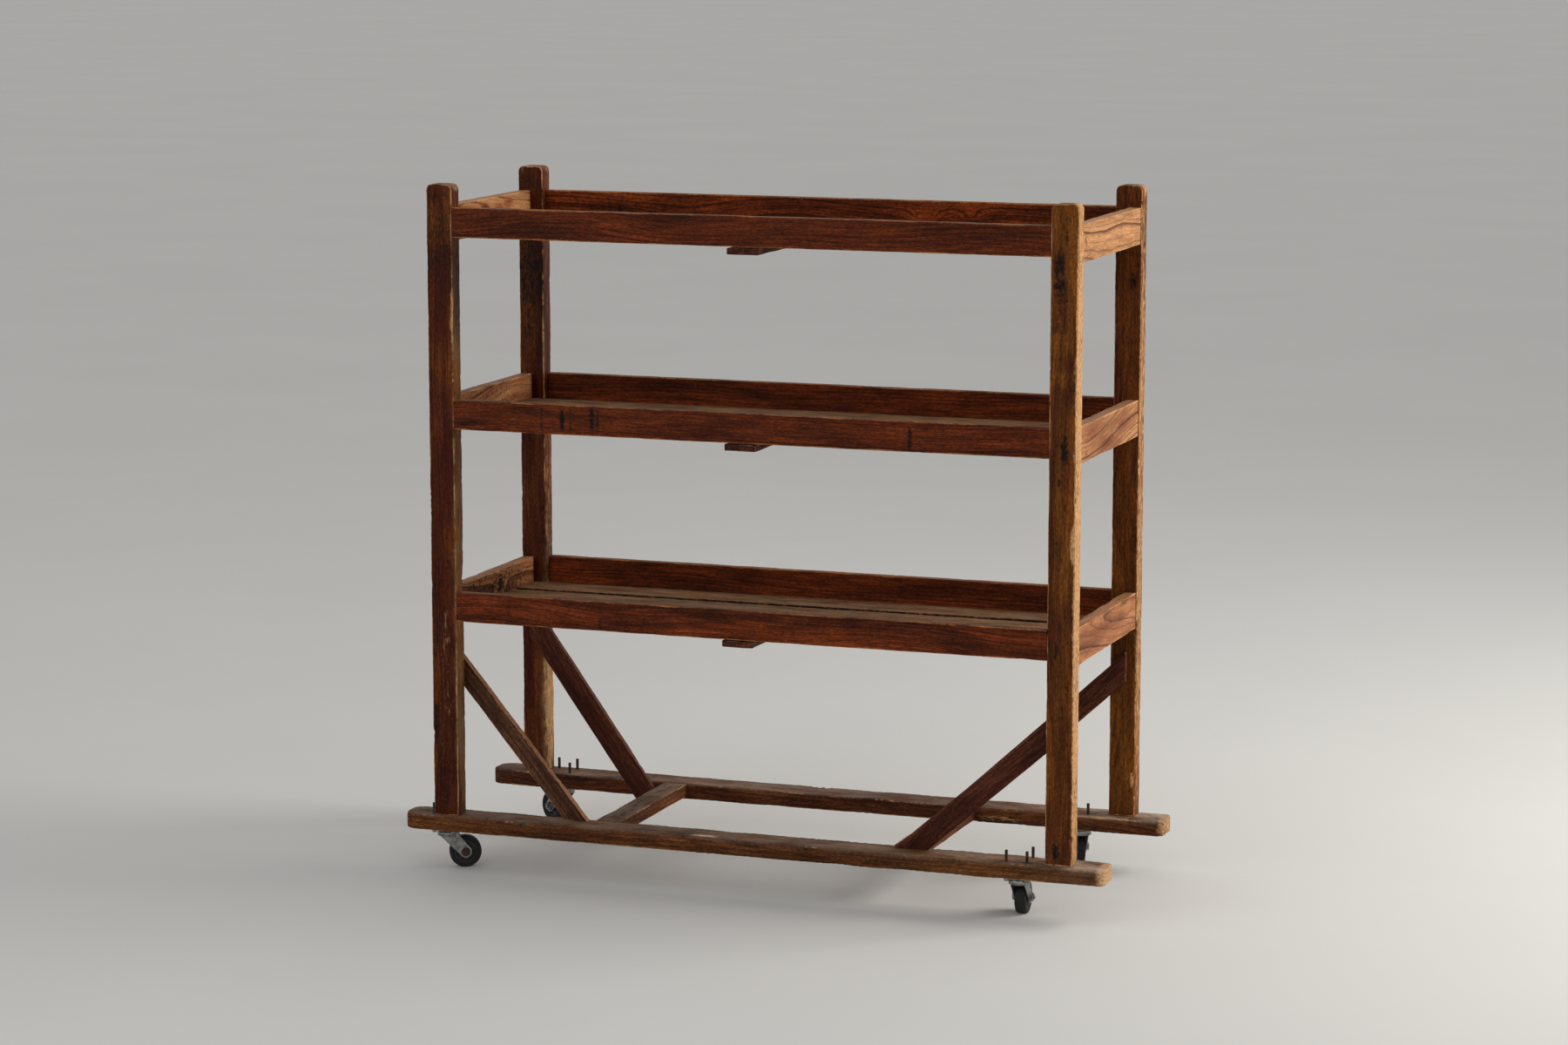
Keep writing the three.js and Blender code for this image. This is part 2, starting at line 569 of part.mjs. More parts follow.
// The tyre: a ring with rounded shoulders.
function tyre(corner) {
  const inner = WHEEL_RADIUS - TYRE_DEPTH;
  const half = TYRE_WIDTH / 2;
  const soft = TYRE_SHOULDER * (1 - Math.SQRT1_2);
  const profile = [
    [inner, -half],
    [WHEEL_RADIUS - TYRE_SHOULDER, -half],
    [WHEEL_RADIUS - soft, -half + soft],
    [WHEEL_RADIUS, -half + TYRE_SHOULDER],
    [WHEEL_RADIUS, half - TYRE_SHOULDER],
    [WHEEL_RADIUS - soft, half - soft],
    [WHEEL_RADIUS - TYRE_SHOULDER, half],
    [inner, half],
  ];
  return piece(`tyre_${corner}`, turned(profile), RUBBER);
}

// A whole caster under its runner, turned to the way that it trails.
function caster(corner) {
  const [, side] = cornerSigns(corner);
  const group = new THREE.Group();
  group.position.set(casterX(corner), side * RUNNER_Y, CASTER_HEIGHT);
  group.add(casterPlate(corner));
  const swivel = new THREE.Group();
  swivel.rotation.z = CASTER_TURN[corner] * Math.PI / 180;
  swivel.add(casterFork(corner));
  const wheel = new THREE.Group();
  wheel.position.set(CASTER_TRAIL, 0, AXLE_Z);
  wheel.add(casterAxle(corner), wheelHub(corner), tyre(corner));
  swivel.add(wheel);
  group.add(swivel);
  return group;
}

const rack = new THREE.Group();
for (const side of Object.keys(SIDES)) {
  rack.add(runner(side));
  for (const tray of Object.keys(TRAY_HEIGHT)) {
    rack.add(longRail(side, tray));
  }
}
for (const end of Object.keys(ENDS)) {
  rack.add(stretcher(end));
  for (const tray of Object.keys(TRAY_HEIGHT)) {
    rack.add(endRail(end, tray));
  }
}
for (const tray of Object.keys(TRAY_HEIGHT)) {
  rack.add(bearer(tray));
  for (let index = 0; index < SLAT_COUNT; index += 1) {
    rack.add(slat(tray, index));
  }
}
for (const corner of CORNERS) {
  rack.add(post(corner), brace(corner), caster(corner));
}

// The origin is on the floor under the middle of the space that the rack takes up at rest.
const bounds = new THREE.Box3().setFromObject(rack, true);
rack.position.y = -(bounds.min.y + bounds.max.y) / 2;

export default rack;
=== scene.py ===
"""An old bakery bread rack: worn pine posts, rails, slats, runners and braces on rolling casters.

Every wooden member is a rounded profile carried along its length, with its own worn arrises and chips.
Each carries a map of its log, so that the growth rings run through the wood from face to face.
Lengths are in metres. In the tables of wear a patch of soil, bare wood, tone or film is its middle, its
spread and its strength, in millimetres from the middle of the member; a chip is its arris, place, reach and
bite, in metres; a smear is its place and strength; a knot is its place along and across, its reach, spread
and lift; pith is where the heart of the log lies, across and through; nicks counts further small chips.
The black soil patches are mostly stains, but some are painted shade: down the sides of the slats, and over
the inner faces of the lower left end rails.
"""

import json
import math

import bpy
import numpy as np
from mathutils import Matrix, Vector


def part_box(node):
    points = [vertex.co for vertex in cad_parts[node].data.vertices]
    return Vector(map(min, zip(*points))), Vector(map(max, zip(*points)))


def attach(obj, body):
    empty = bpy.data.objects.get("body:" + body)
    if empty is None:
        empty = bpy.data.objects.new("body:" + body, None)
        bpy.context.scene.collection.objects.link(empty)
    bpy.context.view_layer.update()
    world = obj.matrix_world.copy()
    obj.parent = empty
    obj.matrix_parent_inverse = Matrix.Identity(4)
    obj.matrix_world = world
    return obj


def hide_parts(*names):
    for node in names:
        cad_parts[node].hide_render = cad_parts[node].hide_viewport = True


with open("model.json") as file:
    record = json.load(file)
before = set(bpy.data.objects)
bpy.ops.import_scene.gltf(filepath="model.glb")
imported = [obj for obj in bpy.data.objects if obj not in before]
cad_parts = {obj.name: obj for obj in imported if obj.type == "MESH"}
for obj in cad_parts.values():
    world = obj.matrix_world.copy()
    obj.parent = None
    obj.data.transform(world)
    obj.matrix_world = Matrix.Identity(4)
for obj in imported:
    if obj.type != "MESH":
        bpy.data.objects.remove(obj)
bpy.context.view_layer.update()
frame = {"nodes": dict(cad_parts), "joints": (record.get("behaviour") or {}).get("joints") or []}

MM = 0.001
TAU = 2 * math.pi
X, Y, Z = range(3)
LOW, HIGH = range(2)
UP = np.array([0.0, 0.0, 1.0])
TINY = 1e-12
CORNERS = ("front_left", "front_right", "back_left", "back_right")
TRAYS = ("top", "middle", "bottom")
SLATS = range(1, 5)


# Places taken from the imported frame

def box(node):
    """The lowest and the highest corner of a CAD node at rest, as arrays."""
    low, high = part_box(node)
    return np.array(low), np.array(high)


RUNNER_TOP = box("runner_front")[HIGH][Z]
RUNNER_SPAN = box("runner_front")[HIGH][Y], box("runner_back")[LOW][Y]
POST_SPAN_Y = box("post_front_right")[HIGH][Y], box("post_back_right")[LOW][Y]
POST_INNER_X = box("post_front_right")[LOW][X]
END_RAIL_INNER_X = box("end_rail_right_top")[LOW][X]
JOINTS = {joint["name"]: joint for joint in frame["joints"]}
SEAT_GAP = 0.25 * MM


# Surfaces, and the range of paces of the waves in their noise
PACES = (0.6, 1.5)


def ripple(seed, points, lengths, waves=16):
    """Smooth noise of unit spread: a sum of plane cosine waves with seeded directions, paces and phases.

    The last axis of points holds coordinates, and lengths gives the wavelength along each of them.
    """
    draw = np.random.default_rng(seed)
    away = draw.normal(size=(points.shape[-1], waves))
    away /= np.linalg.norm(away, axis=0)
    pace = draw.uniform(*PACES, waves)
    phase = draw.uniform(0.0, TAU, waves)
    swing = (points / np.asarray(lengths)) @ (away * pace)
    return np.cos(TAU * swing + phase).sum(axis=-1) * math.sqrt(2.0 / waves)


def skin(rings, marks=None, wrapped=False):
    """A closed shell from rings of points: quads join each ring to the next, all the way round.

    A wrapped shell also joins its last ring to its first. Otherwise a fan closes each end on the middle
    of its ring. Faces are turned outwards by the sign of the volume that they enclose.
    """
    count, around = rings.shape[:2]
    points = rings.reshape(-1, 3)
    number = np.arange(count * around).reshape(count, around)
    ahead = np.roll(number, -1, axis=0) if wrapped else number[1:]
    here = number if wrapped else number[:-1]
    quads = np.stack([here, np.roll(here, -1, 1), np.roll(ahead, -1, 1), ahead], -1).reshape(-1, 4)
    fans = np.zeros((0, 3), int)
    values = {k: v.reshape(count * around, -1) for k, v in (marks or {}).items()}
    if not wrapped:
        points = np.concatenate([points, rings[:1].mean(axis=1), rings[-1:].mean(axis=1)])
        first, last = number[0], number[-1]
        pole = np.full(around, count * around)
        fans = np.concatenate([
            np.stack([pole, np.roll(first, -1), first], -1),
            np.stack([pole + 1, last, np.roll(last, -1)], -1),
        ])
        for key, value in values.items():
            ends = np.stack([value[first].mean(axis=0), value[last].mean(axis=0)])
            values[key] = np.concatenate([value, ends])
    corners = np.concatenate([quads[:, [0, 1, 2]], quads[:, [0, 2, 3]], fans])
    a, b, c = (points[corners[:, i]] - points[0] for i in range(3))
    if (a * np.cross(b, c)).sum() < 0:
        quads, fans = quads[:, ::-1], fans[:, ::-1]
    return points, quads, fans, values


def mesh_of(name, shells, crease=None):
    """One mesh from some shells, smooth all over, or creased where faces meet at more than an angle."""
    starts = np.cumsum([0] + [len(s[0]) for s in shells])
    quads = np.concatenate([s[1] + at for s, at in zip(shells, starts)])
    fans = np.concatenate([s[2] + at for s, at in zip(shells, starts)])
    points = np.concatenate([s[0] for s in shells])
    mesh = bpy.data.meshes.new(name)
    mesh.vertices.add(len(points))
    mesh.vertices.foreach_set("co", points.astype(np.float32).ravel())
    mesh.loops.add(quads.size + fans.size)
    mesh.loops.foreach_set("vertex_index", np.concatenate([quads.ravel(), fans.ravel()]).astype(np.int32))
    begins = [np.arange(len(quads)) * 4, quads.size + np.arange(len(fans)) * 3]
    mesh.polygons.add(len(quads) + len(fans))
    mesh.polygons.foreach_set("loop_start", np.concatenate(begins).astype(np.int32))
    mesh.update(calc_edges=True)
    mesh.validate()
    mesh.shade_smooth()
    if crease:
        mesh.set_sharp_from_angle(angle=math.radians(crease))
    for key in shells[0][3]:
        value = np.concatenate([s[3][key] for s in shells])
        kind, field = ("FLOAT_VECTOR", "vector") if value.shape[1] == 3 else ("FLOAT", "value")
        layer = mesh.attributes.new(key, kind, "POINT")
        layer.data.foreach_set(field, value.astype(np.float32).ravel())
    return mesh


def put(name, data):
    """A new object of the scene."""
    made = bpy.data.objects.new(name, data)
    bpy.context.scene.collection.objects.link(made)
    return made


def piece(name, shells, body, finish, replaced=(), crease=None):
    """A finished piece at the origin, riding on its body, with its finish and the CAD nodes it stands for."""
    mesh = mesh_of(name, shells, crease)
    mesh.materials.append(finish)
    made = put(name, mesh)
    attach(made, body)
    if replaced:
        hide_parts(*replaced)


# Profile of a bar: steps round each arris, and where the flats between them are divided
ARC_STEPS = 5
FLAT_STEPS = np.array([0.035, 0.18, 0.34, 0.5, 0.66, 0.82, 0.965])
ARRIS_SIDES = ((1, 1), (-1, 1), (-1, -1), (1, -1))


def rounded_rings(half_width, half_depth, radii):
    """Rings of a rectangle with four rounded arrises: an arc at each corner, straight flats between them."""
    turn = np.linspace(0.0, TAU / 4, ARC_STEPS + 1)
    arcs = []
    for k, (sx, sy) in enumerate(ARRIS_SIDES):
        r = radii[:, k, None]
        x = sx * (half_width[:, None] - r) + r * np.cos(turn + k * TAU / 4)
        y = sy * (half_depth[:, None] - r) + r * np.sin(turn + k * TAU / 4)
        arcs.append(np.stack([x, y], -1))
    step = FLAT_STEPS[None, :, None]
    rows = []
    for k, arc in enumerate(arcs):
        beyond = arcs[(k + 1) % 4]
        rows += [arc, arc[:, -1:] * (1 - step) + beyond[:, :1] * step]
    return np.concatenate(rows, axis=1)


# Rings along a wooden member, between its ends, at its rounded ends and over its caps
LEAST_RINGS = 12
END_STEPS = 4
PLAN_STEPS = 11
CAP_RINGS = np.array([0.7, 0.35])
BODY_START = 1.3
PLAN_START = 1.05
PLAN_DEPTH = 0.98

# Wear of the arrises: wavelengths and shares of its noise, the roughness of a chip, and limits
SLOW_WAVE, SLOW_SHARE = 0.16, 0.26
QUICK_WAVE, QUICK_SHARE = 0.018, 0.18
CHIP_WAVE, CHIP_SHARE, CHIP_ROUGH = 0.02, 0.5, 0.9 * MM
LEAST_ARRIS, LEAST_LIMIT, MOST_ARRIS = 0.2 * MM, 0.25 * MM, 0.46

# Hollows worn into the faces, and the pith: where it may lie, how it leans and how it wavers
HOLLOW, HOLLOW_WAVES, HOLLOW_RISE = 0.22 * MM, [0.11, 0.05, 0.05], 0.2
PITH_ASIDE, PITH_BEYOND, PITH_LEAN = 0.25, (0.02, 0.06), 0.02
SWAY, SWAY_WAVE = 4 * MM, 0.7
LOG_LENGTH = 9.0


def stations(length, ends, plan, spacing):
    """Where the rings of a member stand: cap rings, a quarter arc at each end, and even steps between.

    Where plan rounds an end in width, the steps there crowd together as one less a cosine. Gives for each
    ring its place along the length, its inset by the end's rounding, and its share of the full size.
    """
    half = length / 2
    turn = np.linspace(0.0, TAU / 4, END_STEPS + 1)
    count = max(LEAST_RINGS, int(length / spacing))
    body = np.linspace(-half + ends[0] * BODY_START, half - ends[1] * BODY_START, count)
    if plan:
        near = 1 - np.cos(np.linspace(0.0, TAU / 4, PLAN_STEPS + 1)[:-1])
        body = np.concatenate([
            -half + ends[0] * PLAN_START + plan[0] * (near if plan[0] else near[:1]),
            body[(body > -half + plan[0] + ends[0]) & (body < half - plan[1] - ends[1])],
            (half - ends[1] * PLAN_START - plan[1] * (near if plan[1] else near[:1]))[::-1],
        ])
    foot, head = ends
    caps = np.ones(len(CAP_RINGS))
    along = np.concatenate([
        caps * -half,
        -half + foot * (1 - np.sin(turn[::-1])),
        body,
        half - head * (1 - np.sin(turn)),
        caps * half,
    ])
    inset = np.concatenate([
        caps * foot, foot * (1 - np.cos(turn[::-1])), body * 0.0, head * (1 - np.cos(turn)), caps * head,
    ])
    share = np.ones(len(along))
    share[: len(CAP_RINGS)] = CAP_RINGS[::-1]
    share[-len(CAP_RINGS):] = CAP_RINGS
    return along, inset, share


def worn_radii(seed, along, arris, chips):
    """Radius of the four arrises at each ring: the base times slow and quick noise, plus for each chip a
    flat-topped bump along the length, the exponential of a fourth power, roughened by noise."""
    line = along[:, None]
    radii = np.empty((len(along), 4))
    for k in range(4):
        slow = ripple(seed + k, line, [SLOW_WAVE])
        quick = ripple(seed + 10 + k, line, [QUICK_WAVE])
        radii[:, k] = arris[k] * (1 + SLOW_SHARE * slow + QUICK_SHARE * quick)
    for k, at, reach, bite in chips:
        rough = min(CHIP_SHARE * bite, CHIP_ROUGH) * ripple(seed + 20 + k, line, [CHIP_WAVE])
        radii[:, k] += (bite + rough) * np.exp(-(((along - at) / reach) ** 4))
    return radii


def heart(across, through, lean, tilt):
    """The pith of a member's log: its place in width and depth, in millimetres, and its two slopes."""
    return [across * MM, through * MM, lean, tilt]


def log_map(seed, s, x, y, size, pith, knots, coarse):
    """The place of each point in its log: how far along, and where beside a pith that leans and wavers.

    A knot pushes the map away from the pith by a bell round its middle, so that rings close round it.
    coarse sets how wide apart the rings of this piece stand.
    """
    width, depth = size[1:]
    draw = np.random.default_rng(seed)
    drawn = [
        draw.uniform(-PITH_ASIDE, PITH_ASIDE) * width,
        draw.choice([-1, 1]) * (depth + draw.uniform(*PITH_BEYOND)),
        draw.uniform(-PITH_LEAN, PITH_LEAN),
        draw.uniform(-PITH_LEAN, PITH_LEAN),
    ]
    pith = drawn if pith is None else pith
    sway = [ripple(seed + 30 + i, s[:, :1], [SWAY_WAVE])[:, None] * SWAY for i in range(2)]
    grain = np.stack([
        s + draw.uniform(0.0, LOG_LENGTH),
        x - pith[0] + pith[2] * s + sway[0],
        y - pith[1] + pith[3] * s + sway[1],
    ], -1)
    for at, across, reach, spread, lift in knots:
        bell = np.exp(-(((s - at * MM) / (reach * MM)) ** 2) - ((x - across * MM) / (spread * MM)) ** 2)
        grain[..., 2] += lift * MM * bell * -np.sign(pith[1])
    grain[..., 1:] /= coarse
    return grain


def timber(
    place, size, seed, arris, ends, chips=(), soil=(), bare=(), pith=None, plan=None, tone=0.5, dust=0.0,
    tones=(), knots=(), spacing=7 * MM, coarse=1.0, film=(), butted=False, shelter=0.0,
):
    """A wooden member: rounded rings carried along its length, with worn arrises and slightly hollow faces.

    place turns local length, width and depth arrays into points of the rack. The ends are rounded by a
    quarter arc. plan rounds one end or both in width as well, by a quarter circle, and there the wear
    follows the rounded outline.
    Marks: grain is the place in the log; arris is the distance to the nearest edge, where shelter is added
    and the edges of butted ends don't count; soil, bare and tones are soft patches, and soil holds black
    stains and some painted shade; dust grows on faces that look up and in the patches of film.
    """
    length, width, depth = size
    half = length / 2
    along, inset, share = stations(length, ends, plan, spacing)
    half_width = np.full(len(along), width / 2)
    for sign, radius in zip((-1, 1), plan or ()):
        inside = np.clip(radius - (half - sign * along), 0.0, radius)
        half_width = half_width - (radius - np.sqrt(radius**2 - inside**2)) * PLAN_DEPTH
    most = np.maximum(MOST_ARRIS * min(width, depth) - inset[:, None], LEAST_LIMIT)
    radii = np.clip(worn_radii(seed, along, arris, chips) - 0.5 * inset[:, None], LEAST_ARRIS, most)
    flat = rounded_rings(half_width - inset, depth / 2 - inset, radii) * share[:, None, None]

    s = np.broadcast_to(along[:, None], flat.shape[:2])
    local = np.concatenate([s[..., None], flat], -1)
    hollow = HOLLOW * np.clip(ripple(seed + 5, local, HOLLOW_WAVES) + HOLLOW_RISE, 0, None)
    x = flat[..., 0] * (1 - hollow / (width / 2))
    y = flat[..., 1] * (1 - hollow / (depth / 2))

    from_end = half - abs(s) + (length if butted else 0.0)
    from_side = half_width[:, None] - abs(x)
    from_face = depth / 2 - abs(y)
    edge = np.sort(np.stack([from_side, from_face, from_end], -1), axis=-1)[..., 1]
    if plan:
        edge = np.maximum(np.minimum(from_side, from_end), from_face)
    points = place(s, x, y)
    marks = {
        "grain": log_map(seed, s, x, y, size, pith, knots, coarse),
        "arris": np.maximum(edge, 0.0) + shelter,
        "soil": patches(local, soil),
        "bare": patches(local, bare),
        "tone": tone + sum((patches(local, [spot]) for spot in tones), np.zeros(s.shape)),
        "dust": dust * looking_up(points) + patches(local, film),
    }
    return skin(points, marks)


def patches(local, spots):
    """Soft patches: each is an ellipsoid round its middle, full inside and fading quickly at its rim."""
    value = np.zeros(local.shape[:2])
    for at, spread, amount in spots:
        far = (((local - np.array(at) * MM) / (np.array(spread) * MM)) ** 2).sum(axis=-1)
        value = math.copysign(1, amount) * np.maximum(abs(value), abs(amount) * np.exp(-far * far))
    return value


def looking_up(points):
    """How far each point of the rings faces up: the upward part of the cross product of its two tangents."""
    around = np.roll(points, -1, axis=1) - np.roll(points, 1, axis=1)
    along = np.gradient(points, axis=0)
    across = np.cross(around, along)
    outward = points - points.mean(axis=1, keepdims=True)
    across *= np.sign((across * outward).sum(axis=-1, keepdims=True) + TINY)
    return np.clip(across[..., Z] / (np.linalg.norm(across, axis=-1) + TINY), 0.0, 1.0) ** 2


def member(node, along, across, span=None, gaps=(SEAT_GAP, SEAT_GAP)):
    """Places a member that lies square to the rack: its length and width run along the given axes.

    span cuts its length back to what shows between its neighbours, less a small gap at each end.
    """
    low, high = box(node)
    if span:
        low[along], high[along] = span[0] + gaps[0], span[1] - gaps[1]
    deep = X + Y + Z - along - across
    middle, size = (low + high) / 2, high - low

    def place(s, x, y):
        """The middle of the node, plus length, width and depth along their own axes."""
        points = np.empty(s.shape + (3,))
        points[..., along] = middle[along] + s
        points[..., across] = middle[across] + x
        points[..., deep] = middle[deep] + y
        return points

    return place, (size[along], size[across], size[deep])


def sloping(node):
    """Places a brace between its board's four corners: a bilinear patch, with its thickness square to it."""
    mesh = frame["nodes"][node].data
    flat = np.empty(len(mesh.vertices) * 3, np.float32)
    mesh.vertices.foreach_get("co", flat)
    spots = np.unique(np.round(flat.reshape(-1, 3), 5), axis=0)
    spots = spots[np.argsort(abs(spots[:, X]))]
    inner, outer, head = spots[0:2], spots[2:4], spots[4:8]
    head = head[np.argsort(head[:, Z])]
    pairs = [p[np.argsort(p[:, Y])] for p in (inner, outer, head[2:], head[:2])]
    foot_up, foot_low, head_up, head_low = (p.mean(axis=0) for p in pairs)
    through = np.mean([p[1] - p[0] for p in pairs], axis=0)
    depth = np.linalg.norm(through)
    through /= depth
    run = head_up - foot_up
    length = (np.linalg.norm(run) + np.linalg.norm(head_low - foot_low)) / 2
    run /= np.linalg.norm(run)
    down = foot_low - foot_up
    width = np.linalg.norm(down - run * (down @ run))

    def place(s, x, y):
        """Points of the two edges at a share of the length, mixed by a share of the width."""
        v = (s / length + 0.5)[..., None]
        q = (x / width + 0.5)[..., None]
        lower = foot_low * (1 - v) + head_low * v
        upper = foot_up * (1 - v) + head_up * v
        return lower * (1 - q) + upper * q + through * y[..., None]

    return place, (length, width, depth)


# Round and hexagonal metal parts

def spokes(axis, sides):
    """Even turns about an axis, the unit vectors square to it at those turns, and the axis made one long."""
    axis = np.array(axis, float) / np.linalg.norm(axis)
    aside = np.cross(axis, UP if abs(axis[Z]) < 0.9 else [1.0, 0.0, 0.0])
    aside /= np.linalg.norm(aside)
    turn = np.arange(sides) * TAU / sides
    around = np.cos(turn)[:, None] * aside + np.sin(turn)[:, None] * np.cross(axis, aside)
    return turn, around, axis


def spun(radius, height, centre, axis, sides=32, hexagon=False):
    """A turned part: radius against height along its axis, carried round it, both ends closed on the axis.

    A hexagon's radius is its flat distance over the cosine of the angle from the nearest flat's middle.
    """
    turn, around, axis = spokes(axis, sides)
    if hexagon:
        around = around / np.cos((turn + TAU / 12) % (TAU / 6) - TAU / 12)[:, None]
    radius, height = np.asarray(radius, float), np.asarray(height, float)
    rings = np.array(centre) + height[:, None, None] * axis + radius[:, None, None] * around
    return skin(rings)


def hoop(profile, centre, axis, sides=96, ribs=None):
    """A ring with a closed profile of radius and width points, carried all the way round its axle.

    ribs adds to each width value a share of a repeating raised lobe, so that spokes stand out of a web.
    """
    turn, around, axis = spokes(axis, sides)
    radius, width = np.asarray(profile, float).T
    width = np.broadcast_to(width, (sides, len(width)))
    if ribs is not None:
        lobe = np.clip(np.cos(turn * RIB_COUNT), 0.0, 1.0) ** 3
        width = width + lobe[:, None] * ribs
    rings = np.array(centre) + radius[None, :, None] * around[:, None, :] + width[..., None] * axis
    return skin(rings, wrapped=True)


THREAD_SIDES, THREAD_STEPS = 16, 6
THREAD_TIP = np.array([0.93, 0.82])


def threaded(radius, pitch, bite, low, high, centre):
    """An upright threaded rod: its radius dips by a triangle wave that climbs one pitch for each turn."""
    height = np.linspace(low, high, int((high - low) / pitch * THREAD_STEPS))[:, None]
    turn = np.arange(THREAD_SIDES) * TAU / THREAD_SIDES
    wave = abs(((height / pitch - turn / TAU) % 1.0) * 2 - 1)
    reach = radius - bite * wave
    reach[-2:] *= THREAD_TIP[:, None]
    rings = np.stack([reach * np.cos(turn), reach * np.sin(turn), np.broadcast_to(height, reach.shape)], -1)
    return skin(rings + np.array(centre))


def nut(flat, height, centre, axis):
    """A hexagon nut or bolt head with its corners chamfered at both faces."""
    radius = np.array([0.86, 0.96, 1.0, 1.0, 0.96, 0.86]) * flat
    level = np.array([0.0, 0.0, 0.12, 0.88, 1.0, 1.0]) * height
    return spun(radius, level, centre, axis, sides=24, hexagon=True)


def disc(radius, thickness, centre, axis, sides=32):
    """A washer or a round bar with a softened rim."""
    soft = min(0.25 * thickness, 0.4 * MM)
    reach = [radius - soft, radius, radius, radius - soft]
    level = [0.0, soft, thickness - soft, thickness]
    return spun(reach, level, centre, axis, sides)


# Shader nodes

def add(tree, kind, settings=None, feeds=None):
    """A node of a kind, with its settings, and its inputs set to values or linked to sockets."""
    made = tree.nodes.new(kind)
    for key, value in (settings or {}).items():
        setattr(made, key, value)
    for key, value in (feeds or {}).items():
        if isinstance(value, bpy.types.NodeSocket):
            tree.links.new(value, made.inputs[key])
        else:
            made.inputs[key].default_value = value
    return made


def sum_of(tree, operation, a, b=0.0, c=0.0, clamp=False):
    """One arithmetic step on two or three values."""
    settings = {"operation": operation, "use_clamp": clamp}
    return add(tree, "ShaderNodeMath", settings, {0: a, 1: b, 2: c}).outputs[0]


def times(tree, a, b):
    """The product of two values."""
    return sum_of(tree, "MULTIPLY", a, b)


def about(tree, value, gain, base, clamp=False):
    """A base, raised and lowered by a gain times how far a value is from its middle at 0.5."""
    return sum_of(tree, "MULTIPLY_ADD", sum_of(tree, "SUBTRACT", value, 0.5), gain, base, clamp)


def ease(tree, value, low, high, to_low=0.0, to_high=1.0):
    """A smooth step of a value from one range to another."""
    feeds = {"Value": value, "From Min": low, "From Max": high, "To Min": to_low, "To Max": to_high}
    return add(tree, "ShaderNodeMapRange", {"interpolation_type": "SMOOTHSTEP"}, feeds).outputs[0]


def stretch(tree, vector, scale):
    """A vector scaled along each of its axes."""
    return add(tree, "ShaderNodeVectorMath", {"operation": "MULTIPLY"}, {0: vector, 1: scale}).outputs[0]


def mottle(tree, vector, scale, detail=2.0, rough=0.55):
    """Noise from 0 to 1 on a vector, stretched by a scale for each axis, or for the first and the others."""
    scale = scale if len(scale) == 3 else (scale[0], scale[-1], scale[-1])
    feeds = {"Vector": stretch(tree, vector, scale), "Scale": 1.0, "Detail": detail, "Roughness": rough}
    return add(tree, "ShaderNodeTexNoise", None, feeds).outputs[0]


def blend(tree, share, a, b, way="MIX"):
    """One colour laid over another by a share."""
    settings = {"data_type": "RGBA", "blend_type": way, "clamp_factor": True}
    return add(tree, "ShaderNodeMix", settings, {0: share, 6: a, 7: b}).outputs[2]


def shaded(tree, colour, value, span, depth):
    """A colour times a grey that goes from dark to light as a value goes through a span."""
    grey = ease(tree, value, *span, *depth)
    grey = add(tree, "ShaderNodeCombineColor", None, {0: grey, 1: grey, 2: grey}).outputs[0]
    return blend(tree, 1.0, colour, grey, "MULTIPLY")


def group(name, vector, values, gives):
    """An empty shader group with a vector input, inputs with their usual values, and outputs.

    Gives its tree, its input sockets, and a function that links values to its outputs by name.
    """
    tree = bpy.data.node_groups.new(name, "ShaderNodeTree")
    tree.interface.new_socket(vector, in_out="INPUT", socket_type="NodeSocketVector")
    for label, value in values.items():
        socket = tree.interface.new_socket(label, in_out="INPUT", socket_type="NodeSocketFloat")
        socket.default_value = value
    for label in gives:
        tree.interface.new_socket(label, in_out="OUTPUT", socket_type="NodeSocketFloat")
    given, out = tree.nodes.new("NodeGroupInput").outputs, tree.nodes.new("NodeGroupOutput").inputs

    def give(**made):
        """Links each value to the output of its name."""
        for label, socket in made.items():
            tree.links.new(socket, out[label])

    return tree, given, give


def use(tree, made, feeds):
    """A group placed in a material with its own values."""
    return add(tree, "ShaderNodeGroup", {"node_tree": made}, feeds).outputs


def surfaced(name, feeds):
    """A material whose surface takes what a function makes in its node tree."""
    made = bpy.data.materials.new(name)
    made.use_nodes = True
    tree = made.node_tree
    tree.nodes.clear()
    surface = add(tree, "ShaderNodeBsdfPrincipled", None, feeds(tree))
    end = tree.nodes.new("ShaderNodeOutputMaterial")
    tree.links.new(surface.outputs[0], end.inputs["Surface"])
    return made


def relief(tree, strength, distance, height):
    """A normal from a height."""
    feeds = {"Strength": strength, "Distance": distance, "Height": height}
    return add(tree, "ShaderNodeBump", None, feeds).outputs[0]


def paint(red, green, blue):
    """A colour given as it looks, in parts of 255, turned into light values."""
    parts = np.array([red, green, blue]) / 255.0
    light = np.where(parts <= 0.04045, parts / 12.92, ((parts + 0.055) / 1.055) ** 2.4)
    return (*light.tolist(), 1.0)


# Wood

